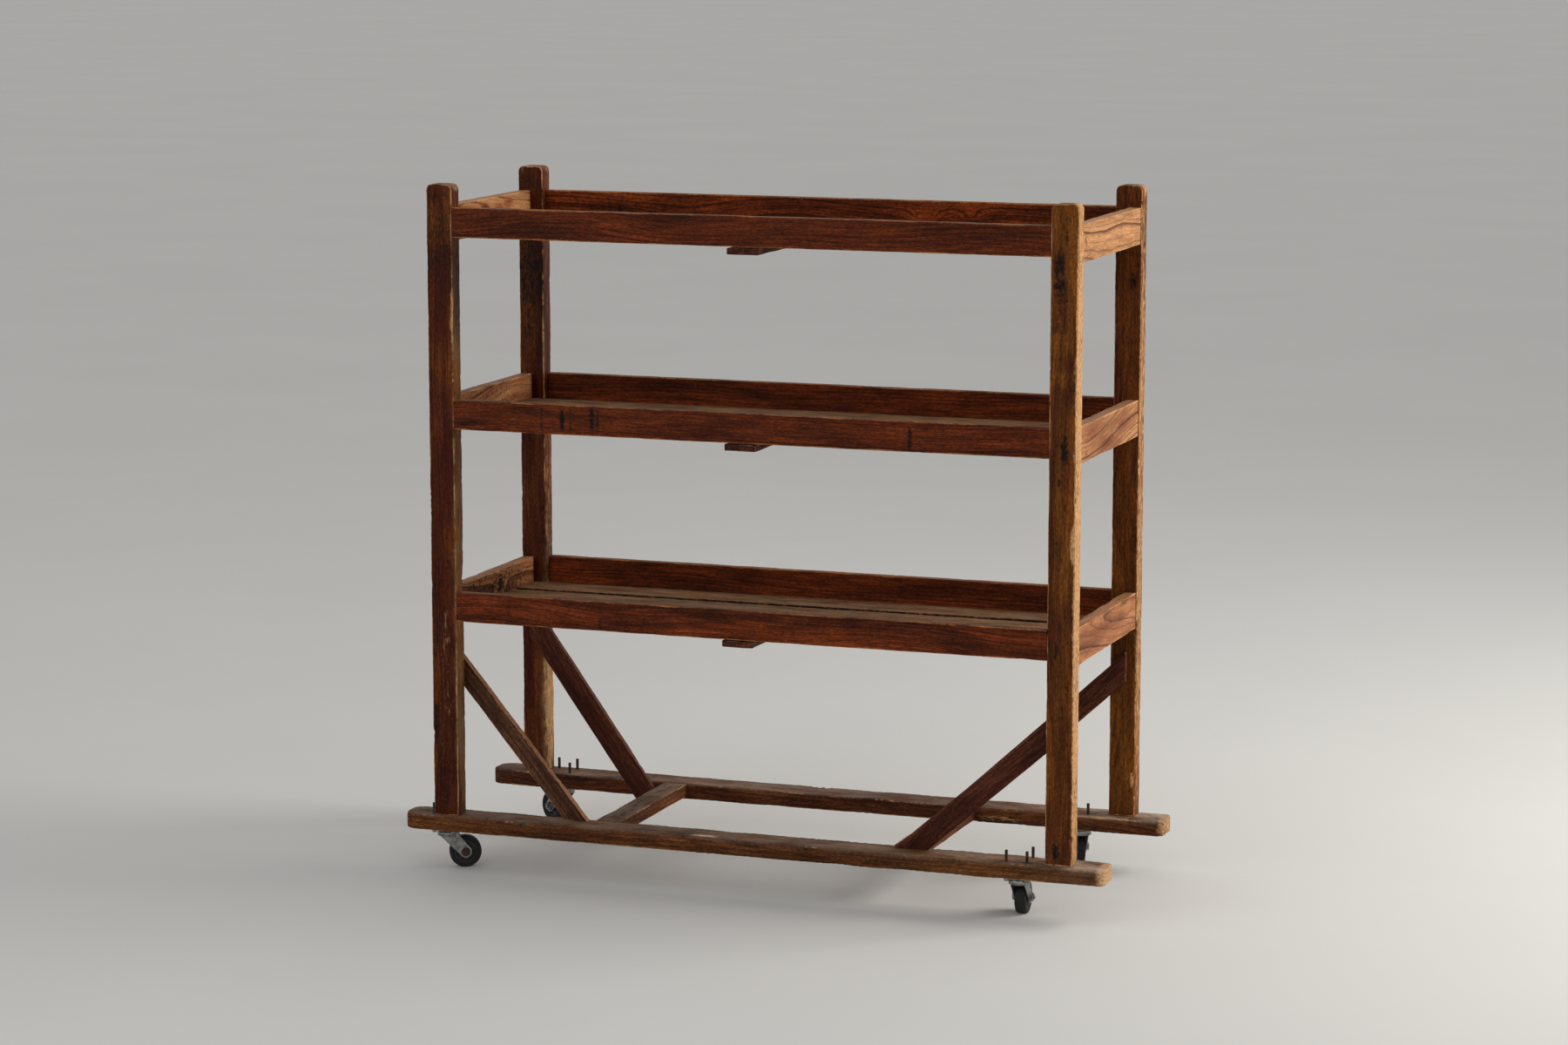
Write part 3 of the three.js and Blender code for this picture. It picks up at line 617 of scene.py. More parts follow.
def pine_grain():
    """Growth rings: the distance from the pith, wavered by long noise, cut into rings that darken slowly
    and end sharply, each with its own strength; and fine fibres that run along the log."""
    values = {"Ring": 4 * MM, "Waver": 6 * MM, "Start": 0.4}
    tree, given, give = group("pine_grain", "Grain", values, ("Late", "Fibre", "Height"))
    grain = given["Grain"]
    flat = stretch(tree, grain, (0.0, 1.0, 1.0))
    far = add(tree, "ShaderNodeVectorMath", {"operation": "LENGTH"}, {0: flat}).outputs["Value"]
    far = about(tree, mottle(tree, grain, (2.4, 16.0), 3.0), given["Waver"], far)
    far = about(tree, mottle(tree, grain, (12.0, 90.0), 3.0), 2.2 * MM, far)
    turns = sum_of(tree, "DIVIDE", far, given["Ring"])
    feeds = {"W": turns, "Scale": 0.55, "Detail": 1.0}
    uneven = add(tree, "ShaderNodeTexNoise", {"noise_dimensions": "1D"}, feeds).outputs[0]
    turns = sum_of(tree, "MULTIPLY_ADD", uneven, 2.2, turns)
    step = sum_of(tree, "FRACT", turns)
    rise = ease(tree, step, given["Start"], 0.93)
    fall = ease(tree, step, 0.94, 1.0, 1.0, 0.0)
    whole = sum_of(tree, "FLOOR", turns)
    strength = add(tree, "ShaderNodeTexWhiteNoise", {"noise_dimensions": "1D"}, {"W": whole}).outputs["Value"]
    strength = sum_of(tree, "MULTIPLY_ADD", strength, 0.75, 0.25)
    late = times(tree, times(tree, rise, fall), strength)
    fibre = mottle(tree, grain, (26.0, 900.0), 2.0, 0.6)
    give(Late=late, Fibre=fibre, Height=sum_of(tree, "MULTIPLY_ADD", late, 0.7, times(tree, fibre, 0.35)))
    return tree


def arris_wear():
    """Bare wood along the arrises: the distance to the edge against a reach that noise makes long and short;
    and patches of bare wood with broken rims."""
    values = {"Arris": 1.0, "Reach": 6 * MM, "Bare": 0.0}
    tree, given, give = group("arris_wear", "Grain", values, ("Mask",))
    grain = given["Grain"]
    slow = mottle(tree, grain, (9.0, 30.0), 4.0, 0.65)
    reach = times(tree, given["Reach"], ease(tree, slow, 0.32, 0.7, 0.3, 1.6))
    edge = sum_of(tree, "SUBTRACT", 1.0, ease(tree, sum_of(tree, "DIVIDE", given["Arris"], reach), 0.6, 1.0))
    thin = mottle(tree, grain, (20.0, 60.0), 4.0, 0.65)
    shown = about(tree, mottle(tree, grain, (34.0, 130.0), 5.0, 0.7), 1.1, given["Bare"])
    patch = times(tree, ease(tree, shown, 0.3, 0.7), ease(tree, given["Bare"], 0.02, 0.2))
    edge = times(tree, edge, ease(tree, thin, 0.34, 0.58, 0.25, 0.95))
    give(Mask=sum_of(tree, "MAXIMUM", edge, patch))
    return tree


def grime_and_shade():
    """Black stains with broken rims, which in places are painted shade, dark flecks along the grain, pale
    specks, and changes of tone.
    """
    values = {"Soil_and_shade": 0.0, "Flecks": 0.3}
    tree, given, give = group("grime_and_shade", "Grain", values, ("Black", "Pale", "Tone", "Streak", "Grit"))
    grain = given["Grain"]
    # Soil patches become black: stains, and in places painted shade.
    shown = about(tree, mottle(tree, grain, (80.0, 130.0), 5.0, 0.72), 2.0, given["Soil_and_shade"])
    stain_and_shade = times(tree, ease(tree, shown, 0.3, 0.9), ease(tree, given["Soil_and_shade"], 0.03, 0.3))
    speck = ease(tree, mottle(tree, grain, (22.0, 150.0), 1.0, 0.5), 0.68, 0.76)
    where = ease(tree, mottle(tree, grain, (2.5, 9.0), 1.0), 0.42, 0.68)
    speck = times(tree, times(tree, speck, where), given["Flecks"])
    crumb = ease(tree, mottle(tree, grain, (150.0, 330.0), 2.0, 0.6), 0.62, 0.72)
    spread = ease(tree, mottle(tree, grain, (6.0, 18.0), 2.0), 0.42, 0.66)
    give(
        Black=sum_of(tree, "MAXIMUM", stain_and_shade, speck),
        Pale=times(tree, crumb, spread),
        Tone=mottle(tree, grain, (3.0, 20.0), 5.0, 0.65),
        Streak=mottle(tree, grain, (10.0, 170.0), 4.0, 0.7),
        Grit=mottle(tree, grain, (110.0, 300.0), 4.0, 0.75),
    )
    return tree


def dusting():
    """Flour dust and crumbs on faces that look up: broken cover, and pale specks here and there."""
    tree, given, give = group("dusting", "Grain", {"Dust": 0.0}, ("Mask",))
    cover = ease(tree, mottle(tree, given["Grain"], (9.0, 24.0), 5.0, 0.7), 0.3, 0.72)
    crumb = ease(tree, mottle(tree, given["Grain"], (260.0, 260.0), 1.0), 0.7, 0.76)
    both = sum_of(tree, "MULTIPLY_ADD", crumb, 0.8, times(tree, cover, 0.65), True)
    give(Mask=times(tree, both, given["Dust"]))
    return tree


GRAIN = pine_grain()
WEAR = arris_wear()
GRIME_AND_SHADE = grime_and_shade()
DUSTING = dusting()

# Colour of the black stains, also used as painted shade.
BLACK_STAIN_AND_SHADE = paint(20, 15, 13)
FRESH_PINE = paint(240, 224, 198)
FLOUR = paint(158, 128, 94)
FLOOR_DUST = paint(178, 158, 138)
MIDDLE = (0.34, 0.66)
WOOD_GLOSS = 0.09
WOOD_RELIEF = 0.8 * MM


def wood(
    name, red, gold, worn, ring, waver, reach, flecks, shine, bump, start=0.4, grit=(0.54, 1.34), cloud=0.4,
    powder=FLOUR,
):
    """A stained and worn pine: rings between an early and a late colour, a red or a golden tone for each
    piece, bare wood on the arrises, black stains that in places stand for painted shade, dust, and a relief
    of rings and fibres."""
    red, gold, worn = ([paint(*colour) for colour in pair] for pair in (red, gold, worn))

    def feeds(tree):
        """Inputs of the surface, from the rings, the wear, the grime and the dust."""
        def mark(label, output="Fac"):
            """A mark that the mesh carries."""
            return add(tree, "ShaderNodeAttribute", {"attribute_name": label}).outputs[output]

        along = mark("grain", "Vector")
        rings = use(tree, GRAIN, {"Grain": along, "Ring": ring * MM, "Waver": waver * MM, "Start": start})
        bare = mark("bare")
        edges = use(tree, WEAR, {"Grain": along, "Arris": mark("arris"), "Reach": reach * MM, "Bare": bare})
        dirt_and_shade = use(tree, GRIME_AND_SHADE, {"Grain": along, "Soil_and_shade": mark("soil"), "Flecks": flecks})
        flour = use(tree, DUSTING, {"Grain": along, "Dust": mark("dust")})
        tone = about(tree, dirt_and_shade["Tone"], 1.5, mark("tone"), True)
        early, late = (blend(tree, tone, red[i], gold[i]) for i in range(2))
        colour = blend(tree, rings["Late"], early, late)
        colour = shaded(tree, colour, dirt_and_shade["Tone"], MIDDLE, (1 - cloud, 1 + cloud))
        colour = shaded(tree, colour, dirt_and_shade["Streak"], MIDDLE, (1 - 0.9 * cloud, 1 + 0.9 * cloud))
        colour = shaded(tree, colour, rings["Fibre"], (0.3, 0.7), (0.84, 1.12))
        pale = blend(tree, rings["Late"], *worn)
        pale = blend(tree, ease(tree, bare, 0.9, 1.2), pale, FRESH_PINE)
        colour = blend(tree, edges["Mask"], colour, pale)
        colour = shaded(tree, colour, dirt_and_shade["Grit"], MIDDLE, grit)
        colour = blend(tree, times(tree, dirt_and_shade["Pale"], 0.2), colour, powder)
        # Black stains and flecks, and painted shade where soil patches stand for it.
        colour = blend(tree, dirt_and_shade["Black"], colour, BLACK_STAIN_AND_SHADE)
        colour = blend(tree, flour["Mask"], colour, powder)
        rough = ease(tree, rings["Fibre"], 0.2, 0.8, shine - 0.07, shine + 0.1)
        open_wood = sum_of(tree, "MAXIMUM", edges["Mask"], flour["Mask"])
        rough = sum_of(tree, "MULTIPLY_ADD", open_wood, 0.22, rough, True)
        high = sum_of(tree, "MULTIPLY_ADD", dirt_and_shade["Black"], -0.5, rings["Height"])
        high = sum_of(tree, "MULTIPLY_ADD", dirt_and_shade["Grit"], 0.8, high)
        normal = relief(tree, bump, WOOD_RELIEF, high)
        return {"Base Color": colour, "Roughness": rough, "Normal": normal, "Specular IOR Level": WOOD_GLOSS}

    return surfaced(name, feeds)


# Woods: colours of early and late wood, and rings, their waver and the wear's reach in millimetres
WOODS = {
    "post_wood": dict(
        red=((78, 31, 14), (58, 22, 10)), gold=((124, 73, 21), (96, 52, 15)),
        worn=((200, 152, 104), (162, 110, 70)),
        ring=4.8, waver=6, reach=2.6, flecks=0.9, shine=0.55, bump=0.6, cloud=0.3,
    ),
    "rail_wood": dict(
        red=((90, 38, 15), (54, 15, 5)), gold=((130, 57, 20), (66, 21, 8)),
        worn=((176, 112, 62), (140, 80, 42)),
        ring=4.6, waver=9, reach=2.6, flecks=0.5, shine=0.55, bump=0.6,
    ),
    "end_rail_wood": dict(
        red=((132, 66, 35), (72, 31, 19)), gold=((176, 125, 82), (70, 33, 23)),
        worn=((198, 150, 100), (160, 108, 68)),
        ring=8.5, waver=16, reach=2.6, flecks=0.4, shine=0.55, bump=0.5,
        start=0.68, grit=(0.76, 1.18), cloud=0.2,
    ),
    "slat_wood": dict(
        red=((98, 60, 36), (62, 35, 22)), gold=((120, 80, 52), (80, 50, 32)),
        worn=((158, 114, 74), (124, 82, 52)),
        ring=4.2, waver=6, reach=2.2, flecks=0.5, shine=0.72, bump=0.6,
    ),
    "runner_wood": dict(
        red=((84, 42, 24), (52, 25, 15)), gold=((108, 66, 32), (72, 41, 19)),
        worn=((200, 158, 110), (162, 114, 72)),
        ring=4.2, waver=6, reach=2.6, flecks=0.9, shine=0.66, bump=0.7, powder=FLOOR_DUST,
    ),
    "brace_wood": dict(
        red=((80, 38, 25), (68, 31, 20)), gold=((88, 57, 38), (40, 25, 18)),
        worn=((184, 132, 98), (150, 100, 72)),
        ring=6.2, waver=6, reach=2.4, flecks=0.4, shine=0.6, bump=0.6,
    ),
}
FINISH = {name: wood(name, **look) for name, look in WOODS.items()}


def wooden(node, finish, place, size, **wear):
    """A wooden piece of the frame, which stands for the CAD node of its name."""
    piece(node, [timber(place, size, **wear)], "frame", FINISH[finish], [node])


# Share of a member's length, each way from its middle, along which chips fall
SCAR_SPAN = 0.48


def scars(length, corners, seed, count, reach, bite):
    """Seeded chips along the given arrises: a place, and a length and a depth from ranges in millimetres."""
    draw = np.random.default_rng(seed)
    at = draw.uniform(-SCAR_SPAN, SCAR_SPAN, count) * length
    return [
        (corners[i % len(corners)], at[i], draw.uniform(*reach) * MM, draw.uniform(*bite) * MM)
        for i in range(count)
    ]


# Posts: length runs up, width to the right and depth back
RIGHT_BACK, LEFT_BACK, LEFT_FRONT, RIGHT_FRONT = range(4)
POST_ARRIS = 2.2 * MM
POST_TOP = 14 * MM
POST_CROWN = 2.2 * MM
POST_FOOT = 0.8 * MM
POST_SCARRED = (RIGHT_FRONT, LEFT_FRONT, RIGHT_FRONT, RIGHT_BACK, LEFT_BACK)
POST_WEAR = {
    "front_left": dict(
        tone=0.0,
        pith=(120, 20),
        tones=[
            ((640, -4, -22), (56, 40, 40), 0.4), ((330, 0, -22), (60, 40, 40), 0.25),
            ((-260, 33, 6), (560, 6, 40), 1.0), ((330, 33, 6), (260, 6, 40), 0.5),
            ((-480, 0, -22), (240, 60, 30), 0.15),
        ],
        soil=[
            ((712, 0, -16), (26, 36, 18), 0.5), ((590, -4, -22), (140, 60, 14), 0.5),
            ((470, 31, 6), (150, 7, 16), 0.85), ((575, 6, -22), (36, 40, 12), 0.5),
            ((500, 8, -22), (40, 26, 9), 0.42), ((-120, 8, -22), (50, 7, 9), 0.6),
            ((-200, -18, -22), (80, 8, 9), 0.6), ((-520, -22, -22), (80, 8, 9), 0.7),
            ((-650, 0, -22), (70, 24, 9), 0.45), ((-480, 4, -22), (40, 5, 9), 0.6),
            ((-300, -16, -22), (60, 8, 9), 0.65),
        ],
        bare=[
            ((-330, 4, -22), (120, 14, 8), 0.36), ((-470, 8, -22), (70, 12, 8), 0.36),
            ((0, 31, -20), (900, 3, 6), 0.42), ((470, 30, -20), (40, 4, 7), 0.7),
            ((420, 28, -20), (30, 5, 7), 0.7), ((380, 30, -20), (34, 4, 7), 0.6),
            ((-260, 31, 4), (480, 3, 40), 0.26), ((730, 26, 8), (18, 14, 22), 0.5),
        ],
        film=[((-300, 31, 4), (480, 5, 40), 1.0), ((300, 31, 4), (300, 5, 40), 0.4)],
        chips=[(RIGHT_BACK, -0.21, 0.06, 9 * MM), (RIGHT_FRONT, 0.32, 0.10, 2 * MM)],
    ),
    "front_right": dict(
        tone=0.4,
        nicks=34,
        pith=(40, 110),
        tones=[
            ((690, 4, -22), (50, 40, 40), 0.4), ((610, 16, -22), (60, 16, 40), 0.4),
            ((430, 0, -22), (24, 80, 40), 0.45), ((352, 0, -22), (16, 80, 40), 0.45),
            ((250, 12, -22), (60, 18, 40), 0.3), ((60, -8, -22), (50, 20, 40), 0.3),
            ((-60, 6, -22), (80, 30, 40), 0.3), ((-420, 0, -22), (180, 40, 30), 0.2),
        ],
        soil=[
            ((602, -10, -22), (30, 17, 10), 0.8), ((556, -6, -22), (30, 17, 10), 0.8),
            ((575, -18, -22), (60, 11, 10), 0.7), ((662, 3, -22), (28, 4, 9), 0.85),
            ((515, -4, -22), (34, 12, 10), 0.6), ((470, -14, -22), (30, 9, 9), 0.5),
            ((195, 4, -22), (44, 8, 10), 0.95), ((124, -6, -22), (15, 6, 9), 0.85),
            ((68, 6, -22), (22, 5, 9), 0.75), ((-25, -12, -22), (28, 4, 9), 0.7),
            ((-250, -10, -22), (24, 7, 9), 0.8), ((-340, 16, -22), (30, 6, 9), 0.65),
            ((-704, -8, -22), (26, 9, 9), 1.0), ((704, 6, -18), (16, 26, 14), 0.4),
            ((600, 31, -6), (90, 4, 16), 0.42), ((420, 31, 4), (70, 4, 20), 0.42),
            ((130, 31, -8), (110, 4, 14), 0.42), ((-300, 31, 0), (200, 4, 24), 0.4),
            ((-580, 31, 4), (110, 4, 20), 0.42),
        ],
        bare=[
            ((0, 31, 0), (900, 5, 60), 0.85), ((-230, 22, -22), (24, 6, 10), 0.4),
            ((360, 24, -22), (50, 6, 10), 0.42), ((-12, 25, -22), (46, 5, 9), 0.85),
            ((728, 26, 8), (26, 16, 22), 0.8),
        ],
        chips=[
            (RIGHT_FRONT, 0.60, 0.12, 3.6 * MM), (RIGHT_FRONT, 0.28, 0.05, 4.6 * MM),
            (RIGHT_FRONT, -0.03, 0.05, 4.6 * MM), (RIGHT_FRONT, -0.36, 0.16, 3.2 * MM),
            (RIGHT_FRONT, -0.62, 0.08, 3.6 * MM),
        ],
    ),
    "back_left": dict(
        tone=0.12,
        pith=(110, -30),
        soil=[
            ((480, -2, -22), (120, 70, 16), 0.66), ((360, -8, -22), (120, 24, 10), 0.5),
            ((-520, 31, 0), (290, 15, 70), 0.26), ((700, 6, -18), (30, 30, 18), 0.4),
        ],
        bare=[
            ((-520, 31, 0), (290, 15, 70), 0.58), ((-80, 31, 0), (240, 4, 60), 0.36),
            ((0, 31, -20), (900, 3, 8), 0.32), ((728, -18, -20), (20, 8, 9), 0.4),
            ((730, 26, 8), (16, 14, 22), 0.4),
        ],
        film=[((-520, 31, 0), (290, 15, 70), 1.1)],
        chips=[(RIGHT_FRONT, -0.52, 0.34, 13 * MM), (RIGHT_FRONT, -0.12, 0.10, 4 * MM)],
    ),
    "back_right": dict(
        tone=0.26,
        nicks=12,
        pith=(60, 90),
        tones=[((-420, 0, 0), (420, 90, 90), 0.5)],
        soil=[
            ((620, 0, -22), (130, 60, 14), 0.38), ((515, 12, -22), (26, 13, 10), 0.75),
            ((500, -24, -22), (22, 7, 9), 0.7), ((330, -22, -22), (90, 7, 10), 0.42),
        ],
        bare=[
            ((0, 31, 0), (900, 4, 60), 0.52), ((-650, 24, -22), (22, 4, 9), 0.9),
            ((728, 26, 8), (24, 14, 22), 0.6),
        ],
        chips=[
            (RIGHT_FRONT, 0.05, 0.06, 4.6 * MM), (RIGHT_FRONT, -0.36, 0.14, 3.6 * MM),
            (RIGHT_FRONT, -0.652, 0.025, 8 * MM),
        ],
    ),
}


def make_posts():
    """Four posts, rounded over at the top and chipped along their outer arrises."""
    for i, corner in enumerate(CORNERS):
        node = f"post_{corner}"
        place, size = member(node, Z, X, (RUNNER_TOP, box(node)[HIGH][Z]), (SEAT_GAP, 0.0))
        wear = dict(POST_WEAR[corner])
        small = scars(size[0], POST_SCARRED, seed=40 + i, count=60, reach=(5, 18), bite=(0.6, 3.0))
        nicks = wear.pop("nicks", 0)
        nicks = scars(size[0], (RIGHT_FRONT,), seed=60 + i, count=nicks, reach=(3, 9), bite=(1.6, 4.2))
        chips = wear.pop("chips") + small + nicks
        pith = heart(*wear.pop("pith"), 0.01, -0.01)
        wooden(
            node, "post_wood", place, size, seed=100 + 50 * i, arris=[POST_ARRIS] * 4,
            ends=(POST_FOOT, POST_CROWN), plan=(0.0, POST_TOP), chips=chips, pith=pith, dust=0.5,
            spacing=4 * MM, **wear,
        )


# Long rails: length runs to the right, width up and depth back
TOP_BACK, BOTTOM_FRONT, TOP_FRONT = 0, 2, 3
RAIL_SCARRED = (TOP_FRONT, TOP_BACK, BOTTOM_FRONT)
RAIL_ARRIS = [2.2 * MM, 1.2 * MM, 1.4 * MM, 2.8 * MM]
BUTT_ENDS = (0.5 * MM, 0.5 * MM)
RAILS = {
    "front_top": dict(
        tone=-0.15, pith=(90, 80), tones=[((-250, 0, -11), (90, 40, 20), 0.3)],
        smears=[(-610, 0.5), (420, 0.4)], knots=[(-300, 10, 60, 16, 9)],
    ),
    "front_middle": dict(
        tone=0.12, pith=(170, 15),
        smears=[
            (-492, 0.68), (-441, 0.92), (-420, 0.72), (-368, 0.9), (-354, 0.8), (391, 0.84), (470, 0.46),
        ],
    ),
    "front_bottom": dict(
        tone=0.15, pith=(150, 40), tones=[((200, 0, -11), (300, 60, 30), 0.15)],
        smears=[(-580, 0.5), (-350, 0.6), (-245, 0.5), (60, 0.4), (300, 0.4), (560, 0.45)],
    ),
    "back_top": dict(
        tone=0.85, pith=(-90, 60), smears=[(245, 0.3), (358, 0.3)], coarse=1.7,
        knots=[(245, 0, 40, 16, 34), (358, 2, 30, 13, 30), (-330, -4, 90, 16, 14)],
    ),
    "back_middle": dict(tone=0.55, pith=(140, 36), smears=[(520, 0.5)]),
    "back_bottom": dict(tone=0.5, pith=(120, -50), knots=[(250, 8, 70, 14, 8)]),
}


def make_long_rails():
    """Six long rails between the posts, with a lighter worn top edge and black smears down their faces."""
    for i, side in enumerate(("front", "back")):
        for j, tray in enumerate(TRAYS):
            node = f"{side}_rail_{tray}"
            seed = 400 + 60 * i + 300 * j
            place, size = member(node, X, Z, (-POST_INNER_X, POST_INNER_X))
            wear = dict(RAILS[f"{side}_{tray}"])
            draw = np.random.default_rng(seed)
            soil = []
            for at, amount in wear.pop("smears", ()):
                drop = draw.uniform(-8, 10)
                soil.append(((at, drop, -11), (draw.uniform(5, 8), draw.uniform(30, 46), 9), amount))
            chips = scars(size[0], RAIL_SCARRED, seed=seed + 1, count=34, reach=(6, 26), bite=(0.5, 2.2))
            pith = heart(*wear.pop("pith"), draw.uniform(-0.012, 0.012), draw.uniform(-0.02, 0.02))
            wooden(
                node, "rail_wood", place, size, seed=seed, arris=RAIL_ARRIS, ends=BUTT_ENDS, butted=True,
                chips=chips, soil=soil, pith=pith, dust=0.75, spacing=6 * MM, **wear,
            )


# End rails: length runs back, width up and depth to the right
TOP_RIGHT, TOP_LEFT = 0, 3
END_RAIL_ARRIS = [2.2 * MM, 1.4 * MM, 1.4 * MM, 2.2 * MM]
END_RAILS = {
    "right_top": dict(
        tone=1.0, pith=(-90, -110, 0.03, 0.03), coarse=1.5,
        soil=[((-215, 6, 14), (20, 20, 8), 0.5), ((-160, 14, 14), (26, 10, 8), 0.36)],
    ),
    "right_middle": dict(
        tone=0.7, pith=(60, -70, -0.06, 0.02),
        tones=[
            ((-150, 12, 14), (60, 16, 20), -0.4), ((-20, -20, 14), (60, 14, 20), -0.45),
            ((120, 6, 14), (70, 16, 20), -0.35),
        ],
        soil=[((-195, -22, 14), (14, 12, 9), 0.55), ((90, 6, 14), (40, 20, 9), 0.3)],
    ),
    "right_bottom": dict(
        tone=0.46, pith=(30, -74, 0.04, -0.03),
        tones=[((-60, 14, 14), (80, 12, 20), -0.2), ((90, -12, 14), (70, 14, 20), -0.2)],
        soil=[((-60, 20, 14), (12, 6, 8), 0.45)],
    ),
    "left_top": dict(
        tone=0.78, pith=(15, 76, 0.08, 0.02),
        tones=[
            ((-90, 4, 14), (26, 16, 20), -0.8), ((-30, 14, 14), (30, 16, 20), -0.85),
            ((50, 4, 14), (30, 20, 20), -0.8), ((110, 22, 14), (30, 12, 20), -0.8),
        ],
        soil=[
            ((-30, 16, 14), (36, 12, 9), 0.45), ((60, 10, 14), (24, 16, 9), 0.45),
            ((110, 24, 14), (30, 8, 9), 0.45),
        ],
    ),
    "left_middle": dict(
        # Painted shade: the wide soil patch darkens the whole inner face, under the top tray.
        tone=0.5, pith=(60, 60, -0.05, 0.02), soil=[((0, 0, 14), (300, 60, 30), 0.42)],
    ),
    "left_bottom": dict(
        tone=0.5, pith=(5, 60, 0.11, 0.01), knots=[(40, 6, 30, 16, 14)],
        # A stain round the knot, and painted shade: the wide soil patch darkens the whole inner face, under
        # the trays.
        soil=[((40, 4, 14), (22, 28, 9), 0.9), ((0, 0, 14), (280, 60, 30), 0.62)],
    ),
}


def make_end_rails():
    """Six end rails between front and back posts, paler than the rest and boldly grained; the middle and
    bottom left ones have painted shade over their inner faces.
    """
    for i, (key, row) in enumerate(END_RAILS.items()):
        node = f"end_rail_{key}"
        place, size = member(node, Y, Z, POST_SPAN_Y)
        wear = dict(row)
        chips = scars(size[0], (TOP_LEFT, TOP_RIGHT), seed=900 + i, count=8, reach=(8, 30), bite=(0.6, 2.0))
        wooden(
            node, "end_rail_wood", place, size, seed=930 + 40 * i, arris=END_RAIL_ARRIS, ends=BUTT_ENDS,
            butted=True, chips=chips, pith=heart(*wear.pop("pith")), dust=0.5, spacing=5 * MM, **wear,
        )


# Slats and runners: length runs to the right, width back and depth up
BACK_TOP, FRONT_TOP, FRONT_BOTTOM = range(3)
SLAT_ARRIS = 1.1 * MM

# Battens and stretchers: length runs back, width to the right and depth up
RIGHT_TOP, LEFT_TOP = range(2)
EVERY_ARRIS = range(4)
BATTEN_ARRIS = 1.6 * MM
BATTEN_ENDS = (1.5 * MM, 1.5 * MM)
BATTEN_SHELTER = 1.5 * MM
STRETCHER_ARRIS = 3 * MM


def make_slats():
    """Twelve shelf slats, dusty on top, with painted shade down their sides that darkens the gaps between
    them.
    """
    for j, tray in enumerate(TRAYS):
        for k in SLATS:
            node = f"slat_{tray}_{k}"
            seed = 1300 + 70 * j + 11 * k
            place, size = member(node, X, Y, (-END_RAIL_INNER_X, END_RAIL_INNER_X))
            tone = np.random.default_rng(seed).uniform(0.0, 1.0)
            chips = scars(size[0], (BACK_TOP, FRONT_TOP), seed=seed, count=8, reach=(6, 25), bite=(0.5, 1.6))
            side = size[1] / 2 / MM
            # Painted shade: a dark strip down each side of a slat, for the dark gaps between slats.
            soil = [((0, at, 6), (1500, 3, 9), 0.75) for at in (side, -side)]
            wooden(
                node, "slat_wood", place, size, seed=seed, arris=[SLAT_ARRIS] * 4, ends=BUTT_ENDS,
                butted=True, chips=chips, soil=soil, tone=tone, dust=1.0, spacing=12 * MM,
            )


def make_battens():
    """A batten across the middle of each tray, nailed up into the slats."""
    for j, tray in enumerate(TRAYS):
        node = f"bearer_{tray}"
        place, size = member(node, Y, X)
        chips = scars(size[0], EVERY_ARRIS, seed=1700 + j, count=6, reach=(6, 20), bite=(0.8, 2.5))
        wooden(
            node, "brace_wood", place, size, seed=1710 + 40 * j, arris=[BATTEN_ARRIS] * 4, ends=BATTEN_ENDS,
            chips=chips, tone=0.2 + 0.15 * j, dust=0.3, shelter=BATTEN_SHELTER,
        )


# Runners: the wear of each, with the radii of its four arrises
RUNNER_SCARRED = (FRONT_TOP, BACK_TOP, FRONT_BOTTOM)
RUNNER_PLAN = (34 * MM, 18 * MM)
RUNNER_ENDS = (5 * MM, 5 * MM)
RUNNERS = {
    "front": dict(
        arris=[5 * MM, 8 * MM, 4 * MM, 3 * MM],
        tone=0.55,
        tones=[((620, 0, 0), (300, 90, 90), 0.5)],
        chips=[
            (FRONT_TOP, 0.10, 0.42, 4 * MM), (FRONT_TOP, -0.55, 0.02, 6 * MM),
            (FRONT_TOP, 0.80, 0.05, 5 * MM), (FRONT_BOTTOM, 0.45, 0.10, 3 * MM),
            (BACK_TOP, 0.30, 0.3, 2 * MM),
        ],
        soil=[
            ((-545, -36, 10), (14, 9, 10), 0.8), ((-780, 0, 18), (60, 50, 10), 0.5),
            ((330, -42, -4), (90, 10, 10), 0.5),
        ],
        bare=[
            ((-100, -22, 18), (36, 11, 8), 1.3), ((842, 0, 0), (20, 60, 40), 0.85),
            ((520, -8, 18), (120, 30, 8), 0.35), ((-842, 0, 0), (14, 60, 40), 0.35),
        ],
        film=[
            ((770, 0, 0), (100, 60, 40), 0.12), ((842, 0, 0), (20, 60, 40), 0.5),
            ((770, 0, 18), (130, 60, 10), 1.0),
        ],
    ),
    "back": dict(
        arris=[4 * MM, 5 * MM, 4 * MM, 3 * MM],
        tone=0.2,
        tones=[((640, 0, 0), (260, 90, 90), 0.3)],
        chips=[
            (FRONT_BOTTOM, 0.47, 0.11, 9 * MM), (FRONT_BOTTOM, 0.36, 0.03, 6 * MM),
            (FRONT_BOTTOM, 0.60, 0.05, 7 * MM), (FRONT_TOP, 0.78, 0.07, 4 * MM),
            (FRONT_TOP, -0.3, 0.5, 2 * MM),
        ],
        soil=[((430, -42, -12), (110, 10, 9), 0.6), ((-640, 0, 18), (80, 40, 9), 0.4)],
        bare=[
            ((842, 0, 0), (18, 60, 40), 0.6), ((450, -42, -6), (80, 10, 10), 0.45),
            ((720, -40, 17), (120, 4, 5), 0.7),
        ],
        film=[((740, 0, 18), (160, 60, 10), 1.0)],
    ),
}


def make_runners():
    """Two runners with ends rounded in plan, and front edges worn round by many hands and feet."""
    for i, (side, row) in enumerate(RUNNERS.items()):
        node = f"runner_{side}"
        place, size = member(node, X, Y)
        wear = dict(row)
        small = scars(size[0], RUNNER_SCARRED, seed=1900 + i, count=24, reach=(8, 40), bite=(0.8, 3.0))
        chips = wear.pop("chips") + small
        wooden(
            node, "runner_wood", place, size, seed=1910 + 60 * i, ends=RUNNER_ENDS, plan=RUNNER_PLAN,
            chips=chips, dust=0.65, spacing=5 * MM, **wear,
        )


